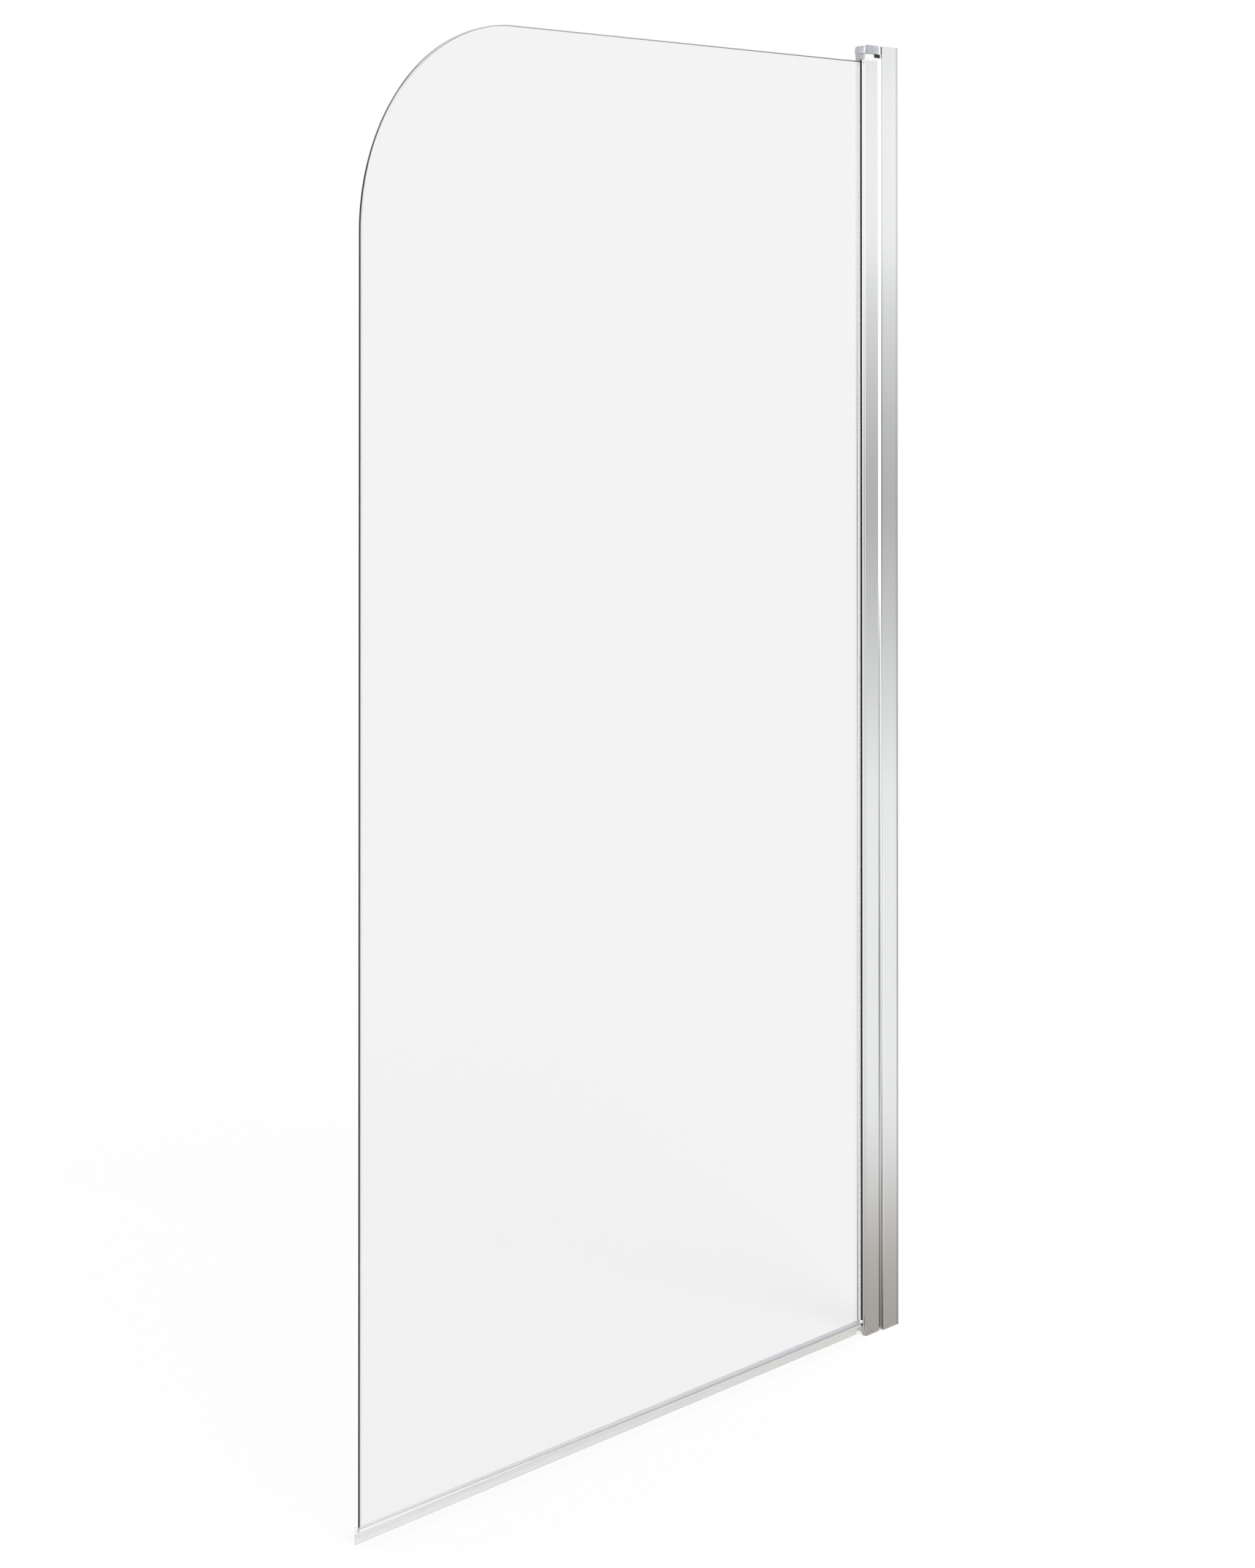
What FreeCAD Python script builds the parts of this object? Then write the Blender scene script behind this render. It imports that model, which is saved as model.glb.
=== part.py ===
"""Pivoting glass bath screen, 800 x 1400 mm, with one rounded free corner.

Units are millimetres. The wall is the plane X = 0 and the screen reaches out along -X.
The room side faces -Y, the bath is on the +Y side, and Z = 0 is the rim of the bath.
The origin is at the foot of the wall profile's back face, in the middle of its depth.

Three groups of pieces, from the wall outwards:
  fixed to the wall      wall profile and its top cap
  telescoping in it      adjusting profile with the two pivot brackets, their pins and screws
  swinging on the pins   pivot profile, end plugs, gaskets, glass pane and bath seal
"""

import FreeCAD
import Part
import math
import os

from FreeCAD import Vector

# ---- driving dimensions -------------------------------------------------------------------

SCREEN_WIDTH = 800.0          # wall to the free edge of the glass, adjusting profile pushed home
SCREEN_HEIGHT = 1400.0        # rim of the bath to the top of the pivot bracket
CORNER_RADIUS = 200.0         # rounded free corner of the glass

GLASS_THICKNESS = 5.0
GLASS_OFFSET = 1.3            # the glass stands this far behind the middle of the profiles
GLASS_FOOT = 10.0             # height of the glass's lower edge over the rim
GLASS_HEAD = 1382.0           # height of its upper edge
GLASS_ARRIS = 1.0             # ground bevel on every edge of the pane

WALL_PROFILE_WIDTH = 27.4     # along X
WALL_PROFILE_DEPTH = 20.4     # along Y
WALL_PROFILE_WALL = 1.5
WALL_PROFILE_BACK = 1.8       # thickness of the web against the wall
WALL_PROFILE_NOSE_R = 1.4     # rounding of the two lips beside the gap
WALL_CAP_THICKNESS = 1.2

ADJUST_TRAVEL = 15.0          # how far the adjusting profile can be drawn out
ADJUSTER_NOSE_X = -29.2       # face that shows in the gap, pushed home
ADJUSTER_TAIL_X = -4.0
ADJUSTER_DEPTH = 16.8
ADJUSTER_WALL = 1.3
ADJUSTER_WEB_X = -17.6

PIVOT_PROFILE_LEFT = -56.0
PIVOT_PROFILE_RIGHT = -32.0
PIVOT_PROFILE_DEPTH = 15.2
PIVOT_PROFILE_WALL = 1.5
PIVOT_PROFILE_EDGE_R = 0.9    # rounding of its long outer edges
PIVOT_PROFILE_FOOT = 4.0
PIVOT_PROFILE_HEAD = 1383.0
PIVOT_AXIS_X = -44.0          # the screen turns about this vertical axis, at Y = 0

FRONT_LIP_INNER_Y = -3.2      # inner face of the front lips, where the black gasket bears
REAR_LIP_INNER_Y = 5.2        # inner face of the rear lips, where the clear gasket bears
GLASS_EDGE_X = -42.0          # hidden upright edge of the pane, inside the pivot profile

BRACKET_HEAD_RIGHT = -29.4
BRACKET_UNDERSIDE = 1390.3    # underside of the upper bracket's head
BRACKET_FOOT_TOP = 3.0        # upper face of the lower bracket
BRACKET_TONGUE_WIDTH = 11.0
BRACKET_TONGUE_END = -7.6
BRACKET_TONGUE_HEAD = 1397.6
PIN_RADIUS = 2.5
PIN_SEAT_RADIUS = 2.52        # hole that a pin is pressed into
PIN_RUNNING_RADIUS = 2.56     # nylon bore that turns on a pin

PLUG_HEAD_TOP = 1390.0
PLUG_NOTCH_LEFT = -39.9
PLUG_NOTCH_FLOOR = 1386.2

SCREW_CHANNEL_RADIUS = 1.95   # long open channels in the extrusions that screws cut into
SCREW_SHANK_RADIUS = 1.9
SCREW_HEAD_RADIUS = 3.4
SCREW_HEAD_HEIGHT = 1.5

SEAL_HEIGHT = 16.0            # top of the seal's two flanges over the rim
SEAL_WEB_FOOT = 8.8
SEAL_FLANGE = 0.6
SEAL_FREE_END_X = -802.8
SEAL_PROFILE_END_X = -56.4
SEAL_TRIM = 2.6               # corner of the fin cut back so that it clears the lower bracket

WALL_HOLE_RADIUS = 2.75
WALL_HOLE_HEIGHTS = (120.0, 700.0, 1280.0)
ADJUSTING_SCREW_HEIGHTS = (100.0, 700.0, 1300.0)
ADJUSTING_SCREW_X = -7.6
ADJUSTING_SCREW_RADIUS = 2.0

# ---- dimensions that follow ---------------------------------------------------------------

WALL_HALF = WALL_PROFILE_DEPTH / 2
WALL_INNER_HALF = WALL_HALF - WALL_PROFILE_WALL
ADJUSTER_HALF = ADJUSTER_DEPTH / 2
PIVOT_HALF = PIVOT_PROFILE_DEPTH / 2
PIVOT_INNER_HALF = PIVOT_HALF - PIVOT_PROFILE_WALL
GLASS_FRONT_Y = GLASS_OFFSET - GLASS_THICKNESS / 2
GLASS_REAR_Y = GLASS_OFFSET + GLASS_THICKNESS / 2
WALL_PROFILE_HEAD = SCREEN_HEIGHT - WALL_CAP_THICKNESS
SCREW_CHANNELS_X = (-23.6, -12.6)      # the adjusting profile's two channels, at Y = 0
PLUG_CHANNEL_X = -36.8                 # the pivot profile's channel, at Y = 0


# ---- helpers ------------------------------------------------------------------------------

def box(x0, x1, y0, y1, z0, z1):
    return Part.makeBox(x1 - x0, y1 - y0, z1 - z0, Vector(x0, y0, z0))


def rod(radius, x, y, z0, z1):
    return Part.makeCylinder(radius, z1 - z0, Vector(x, y, z0))


def rod_along_y(radius, x, z, y0, y1):
    return Part.makeCylinder(radius, y1 - y0, Vector(x, y0, z), Vector(0, 1, 0))


def prism(points, z0, z1):
    """Upright prism on a closed outline of (x, y) points."""
    corners = [Vector(x, y, z0) for x, y in points]
    outline = Part.makePolygon(corners + corners[:1])
    return Part.Face(outline).extrude(Vector(0, 0, z1 - z0))


def upright_edges(shape, wanted):
    """The shape's vertical edges for which wanted(x, y) is true."""
    found = []
    for edge in shape.Edges:
        a, b = edge.Vertexes[0].Point, edge.Vertexes[-1].Point
        if abs(a.x - b.x) < 1e-6 and abs(a.y - b.y) < 1e-6 and wanted(a.x, a.y):
            found.append(edge)
    return found


def level_edges(shape, z):
    """The shape's edges that lie wholly in the plane at height z."""
    return [e for e in shape.Edges
            if abs(e.BoundBox.ZMin - z) < 1e-6 and abs(e.BoundBox.ZMax - z) < 1e-6]


def save(shape, name):
    solid = shape.removeSplitter()
    if solid.ShapeType == "Compound" and len(solid.Solids) == 1:
        solid = solid.Solids[0]
    if not solid.isValid():
        raise ValueError(name + " isn't a valid solid")
    os.makedirs("parts", exist_ok=True)
    solid.exportStep("parts/" + name + ".step")
    b = solid.BoundBox
    print("%-26s %d solid(s)  X %.1f..%.1f  Y %.1f..%.1f  Z %.1f..%.1f  %.0f mm3" % (
        name, len(solid.Solids), b.XMin, b.XMax, b.YMin, b.YMax, b.ZMin, b.ZMax, solid.Volume))


def screw_channel(x, z0, z1, wall_x, opening):
    """C-shaped channel round (x, 0) joined to the wall at wall_x, slit on the side away from it."""
    outer = SCREW_CHANNEL_RADIUS + 1.3
    towards = 1 if wall_x > x else -1
    ring = rod(outer, x, 0, z0, z1)
    neck = box(min(x, wall_x), max(x, wall_x), -1.1, 1.1, z0, z1)
    bore = rod(SCREW_CHANNEL_RADIUS, x, 0, z0, z1)
    slit_end = x - towards * (outer + 1)
    slit = box(min(x, slit_end), max(x, slit_end), -opening / 2, opening / 2, z0, z1)
    return ring.fuse(neck), bore.fuse(slit)


def sunk_screw(x, y, face_z, length, down=True):
    """Cheese-headed, blunt-ended screw whose head is flush with face_z, pointing down or up."""
    tip = Vector(0, 0, -1 if down else 1)
    head = Part.makeCylinder(SCREW_HEAD_RADIUS, SCREW_HEAD_HEIGHT, Vector(x, y, face_z), tip)
    return head.fuse(Part.makeCylinder(SCREW_SHANK_RADIUS, length, Vector(x, y, face_z), tip))


def screw_seat(x, y, face_z, down=True):
    """Counterbore and clearance hole for sunk_screw."""
    tip, gap = Vector(0, 0, -1 if down else 1), 0.1
    base = Vector(x, y, face_z)
    seat = Part.makeCylinder(SCREW_HEAD_RADIUS + gap, SCREW_HEAD_HEIGHT, base, tip)
    return seat.fuse(Part.makeCylinder(SCREW_SHANK_RADIUS + gap, 20.0, base, tip))


# ---- fixed to the wall --------------------------------------------------------------------

def wall_profile():
    body = box(-WALL_PROFILE_WIDTH, 0, -WALL_HALF, WALL_HALF, 0, WALL_PROFILE_HEAD)
    channel = box(-WALL_PROFILE_WIDTH - 1, -WALL_PROFILE_BACK,
                  -WALL_INNER_HALF, WALL_INNER_HALF, -1, SCREEN_HEIGHT)
    body = body.cut(channel)
    lips = upright_edges(body, lambda x, y: x < -WALL_PROFILE_WIDTH + 0.1 and abs(y) > WALL_HALF - 0.1)
    body = body.makeFillet(WALL_PROFILE_NOSE_R, lips)
    back = upright_edges(body, lambda x, y: x > -0.1)
    body = body.makeFillet(0.5, back)
    for y in (-6.5, 6.5):                      # grooves that key the sealant to the wall
        body = body.cut(box(-0.5, 1, y - 0.7, y + 0.7, -1, SCREEN_HEIGHT))
    for z in WALL_HOLE_HEIGHTS:
        hole = Part.makeCylinder(WALL_HOLE_RADIUS, 6, Vector(-5, 0, z), Vector(1, 0, 0))
        body = body.cut(hole)
    slot_r = ADJUSTING_SCREW_RADIUS + 0.3
    slot_left = ADJUSTING_SCREW_X - ADJUST_TRAVEL
    for z in ADJUSTING_SCREW_HEIGHTS:
        slot = box(slot_left, ADJUSTING_SCREW_X, 0, WALL_HALF + 1, z - slot_r, z + slot_r)
        for x in (slot_left, ADJUSTING_SCREW_X):
            slot = slot.fuse(rod_along_y(slot_r, x, z, 0, WALL_HALF + 1))
        body = body.cut(slot)
    return body


def wall_profile_top_cap():
    plate = box(-WALL_PROFILE_WIDTH, 0, -WALL_HALF, WALL_HALF, WALL_PROFILE_HEAD, SCREEN_HEIGHT)
    plate = plate.makeFillet(WALL_PROFILE_NOSE_R, upright_edges(plate, lambda x, y: x < -1))
    plate = plate.makeFillet(0.6, level_edges(plate, SCREEN_HEIGHT))
    tongue = box(-3.4, -WALL_PROFILE_BACK - 0.1, -6.0, 6.0, WALL_PROFILE_HEAD - 14, WALL_PROFILE_HEAD)
    tongue = tongue.makeChamfer(0.5, level_edges(tongue, WALL_PROFILE_HEAD - 14))
    return plate.fuse(tongue)


# ---- telescoping in the wall profile ------------------------------------------------------

def adjuster_profile():
    z0, z1 = BRACKET_FOOT_TOP, BRACKET_UNDERSIDE
    w = ADJUSTER_WALL
    body = box(ADJUSTER_NOSE_X, ADJUSTER_TAIL_X, -ADJUSTER_HALF, ADJUSTER_HALF, z0, z1)
    body = body.makeFillet(1.0, upright_edges(body, lambda x, y: x < ADJUSTER_NOSE_X + 0.1))
    inner = ADJUSTER_HALF - w
    chambers = box(ADJUSTER_NOSE_X + w, ADJUSTER_WEB_X - w / 2, -inner, inner, z0, z1)
    chambers = chambers.fuse(box(ADJUSTER_WEB_X + w / 2, ADJUSTER_TAIL_X - w, -inner, inner, z0, z1))
    body = body.cut(chambers)
    for x in SCREW_CHANNELS_X:
        boss, bore = screw_channel(x, z0, z1, ADJUSTER_WEB_X, 1.6)
        body = body.fuse(boss).cut(bore)
    for z in ADJUSTING_SCREW_HEIGHTS:
        body = body.cut(rod_along_y(ADJUSTING_SCREW_RADIUS + 0.1, ADJUSTING_SCREW_X, z,
                                    ADJUSTER_HALF - 2 * w, ADJUSTER_HALF + 1))
    return body


def locating_lugs(z0, z1):
    """Four lugs that enter the adjusting profile's chambers beside its screw channels."""
    inner = ADJUSTER_HALF - ADJUSTER_WALL - 0.1
    lugs = None
    for x0, x1 in ((-27.6, -18.6), (-16.6, -9.4)):
        for side in (-1, 1):
            y0, y1 = sorted((side * 3.6, side * inner))
            lug = box(x0, x1, y0, y1, z0, z1)
            lugs = lug if lugs is None else lugs.fuse(lug)
    return lugs


def top_pivot_bracket():
    z0 = BRACKET_UNDERSIDE
    head = box(PIVOT_PROFILE_LEFT, BRACKET_HEAD_RIGHT, -PIVOT_HALF, PIVOT_HALF, z0, SCREEN_HEIGHT)
    head = head.makeFillet(2.4, upright_edges(head, lambda x, y: x < -50))
    head = head.makeFillet(1.9, level_edges(head, SCREEN_HEIGHT))
    half = BRACKET_TONGUE_WIDTH / 2
    tongue = box(BRACKET_HEAD_RIGHT - 2, BRACKET_TONGUE_END, -half, half, z0, BRACKET_TONGUE_HEAD)
    lugs = locating_lugs(z0 - 9, z0)
    seat = box(-27.6, -9.4, -half, half, z0, z0 + 3)
    shoulder = box(-27.6, -9.4, -ADJUSTER_HALF + 0.4, ADJUSTER_HALF - 0.4, z0, z0 + 2.6)
    body = head.fuse([tongue, seat, shoulder, lugs])
    body = body.cut(rod(PIN_SEAT_RADIUS, PIVOT_AXIS_X, 0, z0 - 1, z0 + 6.7))
    for x in SCREW_CHANNELS_X:
        body = body.cut(screw_seat(x, 0, BRACKET_TONGUE_HEAD))
    return body


def bottom_pivot_bracket():
    z1 = BRACKET_FOOT_TOP
    foot = box(PIVOT_PROFILE_LEFT, BRACKET_HEAD_RIGHT, -PIVOT_HALF, PIVOT_HALF, 0, z1)
    foot = foot.makeFillet(PIVOT_PROFILE_EDGE_R, upright_edges(foot, lambda x, y: True))
    half = BRACKET_TONGUE_WIDTH / 2
    tongue = box(BRACKET_HEAD_RIGHT - 2, BRACKET_TONGUE_END, -half, half, 0, z1)
    shoulder = box(-27.6, -9.4, -ADJUSTER_HALF + 0.4, ADJUSTER_HALF - 0.4, 0, z1)
    body = foot.fuse([tongue, shoulder, locating_lugs(z1, z1 + 9)])
    body = body.cut(rod(PIN_SEAT_RADIUS, PIVOT_AXIS_X, 0, -1, z1 + 1))
    for x in SCREW_CHANNELS_X:
        body = body.cut(screw_seat(x, 0, 0, down=False))
    return body


def pivot_pin(z0, z1, domed_end):
    pin = rod(PIN_RADIUS, PIVOT_AXIS_X, 0, z0, z1)
    return pin.makeChamfer(0.7, level_edges(pin, domed_end))


def bottom_thrust_washer():
    z0 = BRACKET_FOOT_TOP
    washer = rod(6.5, PIVOT_AXIS_X, 0, z0, z0 + 0.4)
    return washer.cut(rod(PIN_RADIUS + 0.15, PIVOT_AXIS_X, 0, z0 - 1, z0 + 1))


def bracket_screws(face_z, down):
    screws = [sunk_screw(x, 0, face_z, 22.0, down) for x in SCREW_CHANNELS_X]
    return Part.makeCompound(screws)


def adjusting_screws():
    """Pan-headed screws through the wall profile's slots into the adjusting profile."""
    screws = []
    head_y, head_height = WALL_HALF + 0.9, 2.2
    for z in ADJUSTING_SCREW_HEIGHTS:
        shank = rod_along_y(ADJUSTING_SCREW_RADIUS, ADJUSTING_SCREW_X, z, 4.0, head_y + 0.5)
        head = rod_along_y(3.6, ADJUSTING_SCREW_X, z, head_y, head_y + head_height)
        screws.append(head.fuse(shank))
    return Part.makeCompound(screws)


def adjusting_screw_washers():
    washers = []
    for z in ADJUSTING_SCREW_HEIGHTS:
        disc = rod_along_y(4.6, ADJUSTING_SCREW_X, z, WALL_HALF + 0.05, WALL_HALF + 0.85)
        washers.append(disc.cut(rod_along_y(ADJUSTING_SCREW_RADIUS + 0.15, ADJUSTING_SCREW_X, z,
                                            WALL_HALF - 1, WALL_HALF + 2)))
    return Part.makeCompound(washers)


def adjusting_screw_caps():
    """Snap-on caps that hide the adjusting screws."""
    caps = []
    base_y, height, radius = WALL_HALF + 0.3, 4.0, 6.0
    for z in ADJUSTING_SCREW_HEIGHTS:
        cap = rod_along_y(radius, ADJUSTING_SCREW_X, z, base_y, base_y + height)
        hollow = rod_along_y(radius - 1.0, ADJUSTING_SCREW_X, z, base_y - 1, base_y + height - 1.0)
        caps.append(cap.cut(hollow))
    return Part.makeCompound(caps)


# ---- swinging on the pins -----------------------------------------------------------------

def pivot_profile():
    z0, z1 = PIVOT_PROFILE_FOOT, PIVOT_PROFILE_HEAD
    left, right, half, inner = PIVOT_PROFILE_LEFT, PIVOT_PROFILE_RIGHT, PIVOT_HALF, PIVOT_INNER_HALF
    outer = box(left, right, -half, half, z0, z1)
    outer = outer.makeFillet(PIVOT_PROFILE_EDGE_R, upright_edges(outer, lambda x, y: True))
    hollow = box(left - 1, right - PIVOT_PROFILE_WALL, -inner, inner, z0, z1)
    body = outer.cut(hollow)
    front_lips = ((left, left + 2.5), (-47.6, -46.2))
    rear_lips = ((left, left + 1.5), (-48.8, -47.4))
    for x0, x1 in front_lips:
        body = body.fuse(box(x0, x1, -half + 1.0, FRONT_LIP_INNER_Y, z0, z1))
    for x0, x1 in rear_lips:
        body = body.fuse(box(x0, x1, REAR_LIP_INNER_Y, half - 1.0, z0, z1))
    boss, bore = screw_channel(PLUG_CHANNEL_X, z0, z1, right - PIVOT_PROFILE_WALL / 2, 1.6)
    return body.fuse(boss).cut(bore)


def channel_pegs(z0, z1):
    """Two pegs that enter the pivot profile beside its screw channel."""
    pegs = None
    for side in (-1, 1):
        y0, y1 = sorted((side * (SCREW_CHANNEL_RADIUS + 1.5), side * (PIVOT_INNER_HALF - 0.1)))
        peg = box(-40.2, PIVOT_PROFILE_RIGHT - PIVOT_PROFILE_WALL - 0.1, y0, y1, z0, z1)
        pegs = peg if pegs is None else pegs.fuse(peg)
    return pegs


def top_end_plug():
    z0, z1 = PIVOT_PROFILE_HEAD, PLUG_HEAD_TOP
    head = box(PIVOT_PROFILE_LEFT, PIVOT_PROFILE_RIGHT, -PIVOT_HALF, PIVOT_HALF, z0, z1)
    head = head.makeFillet(3.6, upright_edges(head, lambda x, y: x < -50))
    head = head.makeFillet(0.8, upright_edges(head, lambda x, y: x > -40))
    notch = box(PLUG_NOTCH_LEFT, PIVOT_PROFILE_RIGHT + 1, -PIVOT_HALF - 1, PIVOT_HALF + 1,
                PLUG_NOTCH_FLOOR, z1 + 1)
    body = head.cut(notch).fuse(channel_pegs(z0 - 12, z0))
    body = body.cut(rod(PIN_RUNNING_RADIUS, PIVOT_AXIS_X, 0, z0 + 0.6, z1 + 1))
    return body.cut(screw_seat(PLUG_CHANNEL_X, 0, PLUG_NOTCH_FLOOR))


def top_bush_clip():
    """Black clip that fills the plug's notch and covers the head of the plug's screw."""
    clip = box(PLUG_NOTCH_LEFT + 0.1, PIVOT_PROFILE_RIGHT - 0.2, -PIVOT_HALF + 0.3, PIVOT_HALF - 0.3,
               PLUG_NOTCH_FLOOR + 0.02, PLUG_HEAD_TOP - 0.3)
    clip = clip.makeFillet(0.8, upright_edges(clip, lambda x, y: x > -35))
    slot = box(PLUG_CHANNEL_X - 0.4, PLUG_CHANNEL_X + 0.4, -5.0, 5.0, PLUG_HEAD_TOP - 1.1, PLUG_HEAD_TOP)
    return clip.cut(slot)


def bottom_end_plug():
    z0, z1 = BRACKET_FOOT_TOP + 0.45, PIVOT_PROFILE_FOOT
    flange = box(PIVOT_PROFILE_LEFT + 0.3, PIVOT_PROFILE_RIGHT - 0.3,
                 -PIVOT_HALF + 0.3, PIVOT_HALF - 0.3, z0, z1)
    flange = flange.makeFillet(0.8, upright_edges(flange, lambda x, y: True))
    top = GLASS_FOOT - 0.6
    under_glass = box(PIVOT_PROFILE_LEFT + 0.6, -45.9, FRONT_LIP_INNER_Y + 0.1,
                      REAR_LIP_INNER_Y - 0.1, z1, top)
    bearing = box(-46.1, -40.2, -PIVOT_INNER_HALF + 0.1, PIVOT_INNER_HALF - 0.1, z1, top)
    body = flange.fuse([under_glass, bearing, channel_pegs(z1, z1 + 12)])
    return body.cut(rod(PIN_RUNNING_RADIUS, PIVOT_AXIS_X, 0, z0 - 1, top + 1))


def glass_outline(y):
    """Face of the pane in the plane at y: straight sides and one quarter circle."""
    left, right, r = -SCREEN_WIDTH, GLASS_EDGE_X, CORNER_RADIUS
    foot, head = GLASS_FOOT, GLASS_HEAD
    diagonal = r * (1 - math.sqrt(0.5))
    edges = [
        Part.LineSegment(Vector(right, y, foot), Vector(left, y, foot)),
        Part.LineSegment(Vector(left, y, foot), Vector(left, y, head - r)),
        Part.Arc(Vector(left, y, head - r), Vector(left + diagonal, y, head - diagonal),
                 Vector(left + r, y, head)),
        Part.LineSegment(Vector(left + r, y, head), Vector(right, y, head)),
        Part.LineSegment(Vector(right, y, head), Vector(right, y, foot)),
    ]
    return Part.Face(Part.Wire([e.toShape() for e in edges]))


def glass_panel():
    pane = glass_outline(GLASS_FRONT_Y).extrude(Vector(0, GLASS_THICKNESS, 0))
    rims = [e for e in pane.Edges if abs(e.BoundBox.YLength) < 1e-6]
    return pane.makeChamfer(GLASS_ARRIS, rims)


def front_gasket():
    """Black blade against the glass with a foot locked between the profile's front lips."""
    z0, z1 = SEAL_HEIGHT + 0.3, PIVOT_PROFILE_HEAD
    blade = box(PIVOT_PROFILE_LEFT - 0.3, -46.4, FRONT_LIP_INNER_Y + 0.05, GLASS_FRONT_Y - 0.05, z0, z1)
    blade = blade.makeFillet(0.5, upright_edges(blade, lambda x, y: x < -50))
    foot = box(-53.4, -47.7, -PIVOT_INNER_HALF + 0.1, FRONT_LIP_INNER_Y + 0.2, z0, z1)
    return blade.fuse(foot)


def rear_gasket():
    """Clear strip behind the glass with a low foot between the profile's rear lips."""
    z0, z1 = SEAL_HEIGHT + 0.3, GLASS_HEAD
    blade = box(PIVOT_PROFILE_LEFT - 0.2, -47.6, GLASS_REAR_Y + 0.05, REAR_LIP_INNER_Y - 0.05, z0, z1)
    blade = blade.makeFillet(0.4, upright_edges(blade, lambda x, y: x < -50))
    foot = box(-54.3, -48.9, REAR_LIP_INNER_Y - 0.2, PIVOT_INNER_HALF - 0.1, z0, z1)
    return blade.fuse(foot)


def glass_setting_pad():
    return box(PIVOT_PROFILE_LEFT + 1.0, GLASS_EDGE_X - 1.0, GLASS_FRONT_Y + 0.4, GLASS_REAR_Y - 0.4,
               GLASS_FOOT - 0.58, GLASS_FOOT - 0.02)


def bath_seal():
    """Clear extrusion: a channel gripping the glass, with a fin down to the rim."""
    front, rear = GLASS_FRONT_Y - 0.05, GLASS_REAR_Y + 0.05
    t, foot, top = SEAL_FLANGE, SEAL_WEB_FOOT, SEAL_HEIGHT
    section = [
        (rear + t, top), (rear, top), (rear, foot + 1.0), (front, foot + 1.0), (front, top),
        (front - t, top - 0.4), (front - t, foot + 0.4), (front - t + 0.4, foot),
        (rear - 1.0, foot), (rear - 1.2, 5.0), (rear - 0.9, 1.6), (rear - 0.5, 0.0),
        (rear + 0.1, 0.0), (rear + t - 0.3, 2.0), (rear + t - 0.1, 5.0),
    ]
    corners = [Vector(SEAL_FREE_END_X, y, z) for y, z in section]
    outline = Part.Face(Part.makePolygon(corners + corners[:1]))
    body = outline.extrude(Vector(SEAL_PROFILE_END_X - SEAL_FREE_END_X, 0, 0))
    trim = box(SEAL_PROFILE_END_X - SEAL_TRIM, 0, 0, 10, -1, BRACKET_FOOT_TOP + 0.6)
    return body.cut(trim)


# ---- build --------------------------------------------------------------------------------

def build():
    save(wall_profile(), "wall_profile")
    save(wall_profile_top_cap(), "wall_profile_top_cap")

    save(adjuster_profile(), "adjuster_profile")
    save(top_pivot_bracket(), "top_pivot_bracket")
    save(pivot_pin(PIVOT_PROFILE_HEAD + 0.9, BRACKET_UNDERSIDE + 6.6, PIVOT_PROFILE_HEAD + 0.9),
         "top_pivot_pin")
    save(bottom_pivot_bracket(), "bottom_pivot_bracket")
    save(pivot_pin(0.1, GLASS_FOOT - 0.8, GLASS_FOOT - 0.8), "bottom_pivot_pin")
    save(bottom_thrust_washer(), "bottom_thrust_washer")
    save(bracket_screws(BRACKET_TONGUE_HEAD, True), "top_bracket_screws")
    save(bracket_screws(0, False), "bottom_bracket_screws")
    save(adjusting_screws(), "adjusting_screws")
    save(adjusting_screw_washers(), "adjusting_screw_washers")
    save(adjusting_screw_caps(), "adjusting_screw_caps")

    save(pivot_profile(), "pivot_profile")
    save(top_end_plug(), "top_end_plug")
    save(sunk_screw(PLUG_CHANNEL_X, 0, PLUG_NOTCH_FLOOR, 18.0), "top_plug_screw")
    save(top_bush_clip(), "top_bush_clip")
    save(bottom_end_plug(), "bottom_end_plug")
    save(glass_setting_pad(), "glass_setting_pad")
    save(glass_panel(), "glass_panel")
    save(front_gasket(), "front_gasket")
    save(rear_gasket(), "rear_gasket")
    save(bath_seal(), "bath_seal")


build()
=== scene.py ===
"""Pivoting bath screen: finishes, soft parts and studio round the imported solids.

Everything is in metres in the frame of the solids. The wall is the plane X = 0, the screen
reaches out along -X, the room side faces -Y, the bath is on the +Y side and Z = 0 is the rim
of the bath.
"""

import math

import bmesh
import bpy
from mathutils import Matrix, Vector

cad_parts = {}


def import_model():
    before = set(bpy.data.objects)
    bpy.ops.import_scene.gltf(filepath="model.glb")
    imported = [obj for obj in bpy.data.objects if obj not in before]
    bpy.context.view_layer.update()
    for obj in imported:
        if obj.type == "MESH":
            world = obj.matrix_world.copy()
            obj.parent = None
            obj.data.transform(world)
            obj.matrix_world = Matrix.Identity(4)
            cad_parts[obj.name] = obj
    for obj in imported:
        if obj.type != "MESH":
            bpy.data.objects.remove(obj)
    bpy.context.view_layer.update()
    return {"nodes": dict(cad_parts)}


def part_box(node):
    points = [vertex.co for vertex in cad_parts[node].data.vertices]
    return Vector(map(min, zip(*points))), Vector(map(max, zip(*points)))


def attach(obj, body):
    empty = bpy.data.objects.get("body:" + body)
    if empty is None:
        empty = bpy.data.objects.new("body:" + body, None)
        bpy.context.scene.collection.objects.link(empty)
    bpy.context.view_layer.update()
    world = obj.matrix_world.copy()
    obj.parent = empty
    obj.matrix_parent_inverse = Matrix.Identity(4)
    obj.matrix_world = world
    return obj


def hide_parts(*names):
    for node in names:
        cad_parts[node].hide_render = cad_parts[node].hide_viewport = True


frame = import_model()

MM = 0.001

# ---- camera -------------------------------------------------------------------------------

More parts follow.
